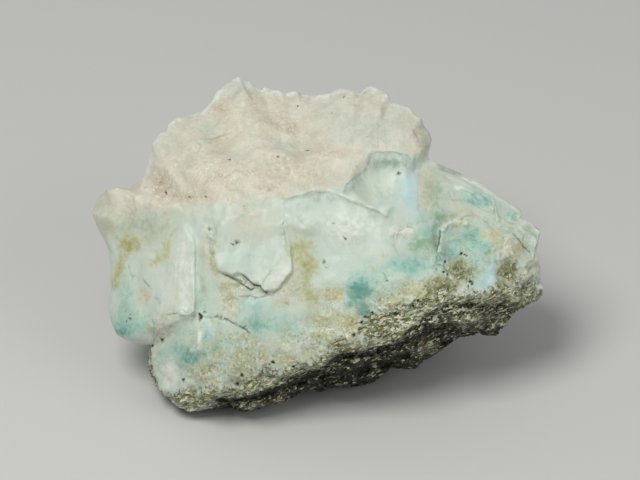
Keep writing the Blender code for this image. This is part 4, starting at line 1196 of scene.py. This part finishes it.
        # Painted shade: near-black in the gaps between the layers.
        colour = self.over(colour, (20, 20, 14), self.times(self.mask("gaps"), 0.95))
        colour = self.over(colour, (24, 24, 16), under)
        # The cracks' dark olive, partly painted shade.
        colour = self.over(colour, (74, 76, 58), self.mask("cracks"))
        return self.over(colour, (20, 22, 18), self.mask("dots"))

    def roughness(self):
        shine = self.some(self.sugar, 0, 0.0, 1.0, 0.40, 0.62)
        rough = self.blend(self.ramp(self.strands, 0.3, 0.7, 0.34, 0.5), shine, self.mask("cap"))
        return self.blend(rough, self.some(self.splinter, 1, 0.2, 1.0, 0.85, 0.35), self.gritty)

    def relief(self):
        """Height in millimetres of the relief that is too fine for the mesh."""
        crystal = self.ramp(self.mottle, 0.0, 1.0, 0.04, 0.5)
        crystal = self.sum(crystal, self.times(self.mask("cap"), 0.2))
        height = self.times(self.facets(self.where, 0.7), crystal)
        parts = (
            (self.facets(self.layer, 0.8), self.times(self.gritty, 1.3)),
            (self.fine, self.blend(0.09, 0.10, self.mask("cap"))),
            (self.strands, 0.05),
            (self.dust, self.ramp(self.gritty, 0.0, 1.0, 0.01, 0.16)),
            (self.curls, self.times(self.mottle, 0.06)),
        )
        for part, share in parts:
            height = self.sum(height, self.times(part, share))
        return height


def larimar():
    look = Larimar()
    colour = look.toned(look.ground(), False, TONE_STRENGTH)
    colour = look.mottled(look.sugared(colour))
    colour = look.matrix(look.crusted(colour))
    colour = look.toned(colour, True, RIND_TONE_STRENGTH)
    colour = look.marked(look.flecked(colour))
    bump = {"Height": look.relief(), "Distance": MM, "Strength": 0.8}
    links = {
        "Base Color": colour,
        "Roughness": look.roughness(),
        "Normal": look.node("ShaderNodeBump", bump, "Normal"),
        "Subsurface Weight": look.ramp(look.gritty, 0.0, 0.6, 0.35, 0.0),
    }
    for name, value in links.items():
        look.tree.links.new(value, look.shader.inputs[name])
    look.shader.inputs["Subsurface Radius"].default_value = (1.0, 0.95, 0.85)
    look.shader.inputs["Subsurface Scale"].default_value = 1.2 * MM
    look.shader.inputs["IOR"].default_value = 1.45
    return look.material


def add_floor():
    mesh = bpy.data.meshes.new("floor")
    half = 2.0
    corners = [(-half, -half, 0.0), (half, -half, 0.0), (half, half, 0.0), (-half, half, 0.0)]
    mesh.from_pydata(corners, [], [(0, 1, 2, 3)])
    mesh.materials.append(plain_material("floor", (0.62, 0.62, 0.61), 0.7))
    floor = bpy.data.objects.new("floor", mesh)
    bpy.context.scene.collection.objects.link(floor)


def place_at(item, azimuth, elevation, distance):
    """Sets a light or camera this far from the middle of the face, looking at it."""
    target = Vector(FACE_ZERO) * MM
    azimuth, elevation = math.radians(azimuth), math.radians(elevation)
    way = Vector((
        math.sin(azimuth) * math.cos(elevation),
        -math.cos(azimuth) * math.cos(elevation),
        math.sin(elevation),
    ))
    item.location = target + way * distance
    item.rotation_euler = way.to_track_quat("Z", "Y").to_euler()
    bpy.context.scene.collection.objects.link(item)


def add_camera():
    lens = bpy.data.cameras.new("camera")
    lens.lens = FOCAL_LENGTH
    lens.sensor_width = SENSOR_WIDTH
    lens.clip_start = 0.01
    camera = bpy.data.objects.new("camera", lens)
    place_at(camera, 0.0, math.degrees(FACE_LEAN), VIEW_DISTANCE * MM)
    bpy.context.scene.camera = camera


def add_light(name, azimuth, elevation, distance, size, watts, colour):
    lamp = bpy.data.lights.new(name, "AREA")
    lamp.shape = "DISK"
    lamp.size = size
    lamp.energy = watts
    lamp.color = colour
    place_at(bpy.data.objects.new(name, lamp), azimuth, elevation, distance)


def add_studio():
    add_floor()
    add_camera()
    warm, cool = (1.0, 0.99, 0.965), (0.98, 1.0, 0.985)
    add_light("key", azimuth=-38, elevation=62, distance=0.6, size=0.3, watts=2.35, colour=warm)
    add_light("fill", azimuth=55, elevation=35, distance=0.8, size=0.5, watts=0.9, colour=cool)
    world = bpy.data.worlds.new("studio")
    world.use_nodes = True
    world.node_tree.nodes["Background"].inputs["Color"].default_value = (0.30, 0.30, 0.30, 1.0)
    bpy.context.scene.world = world
    bpy.context.scene.view_settings.view_transform = "Standard"


stone = shape_stone(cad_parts[NODE])
stone.data.materials.clear()
stone.data.materials.append(larimar())
paint(stone)
add_studio()

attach(stone, "root")
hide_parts(NODE)
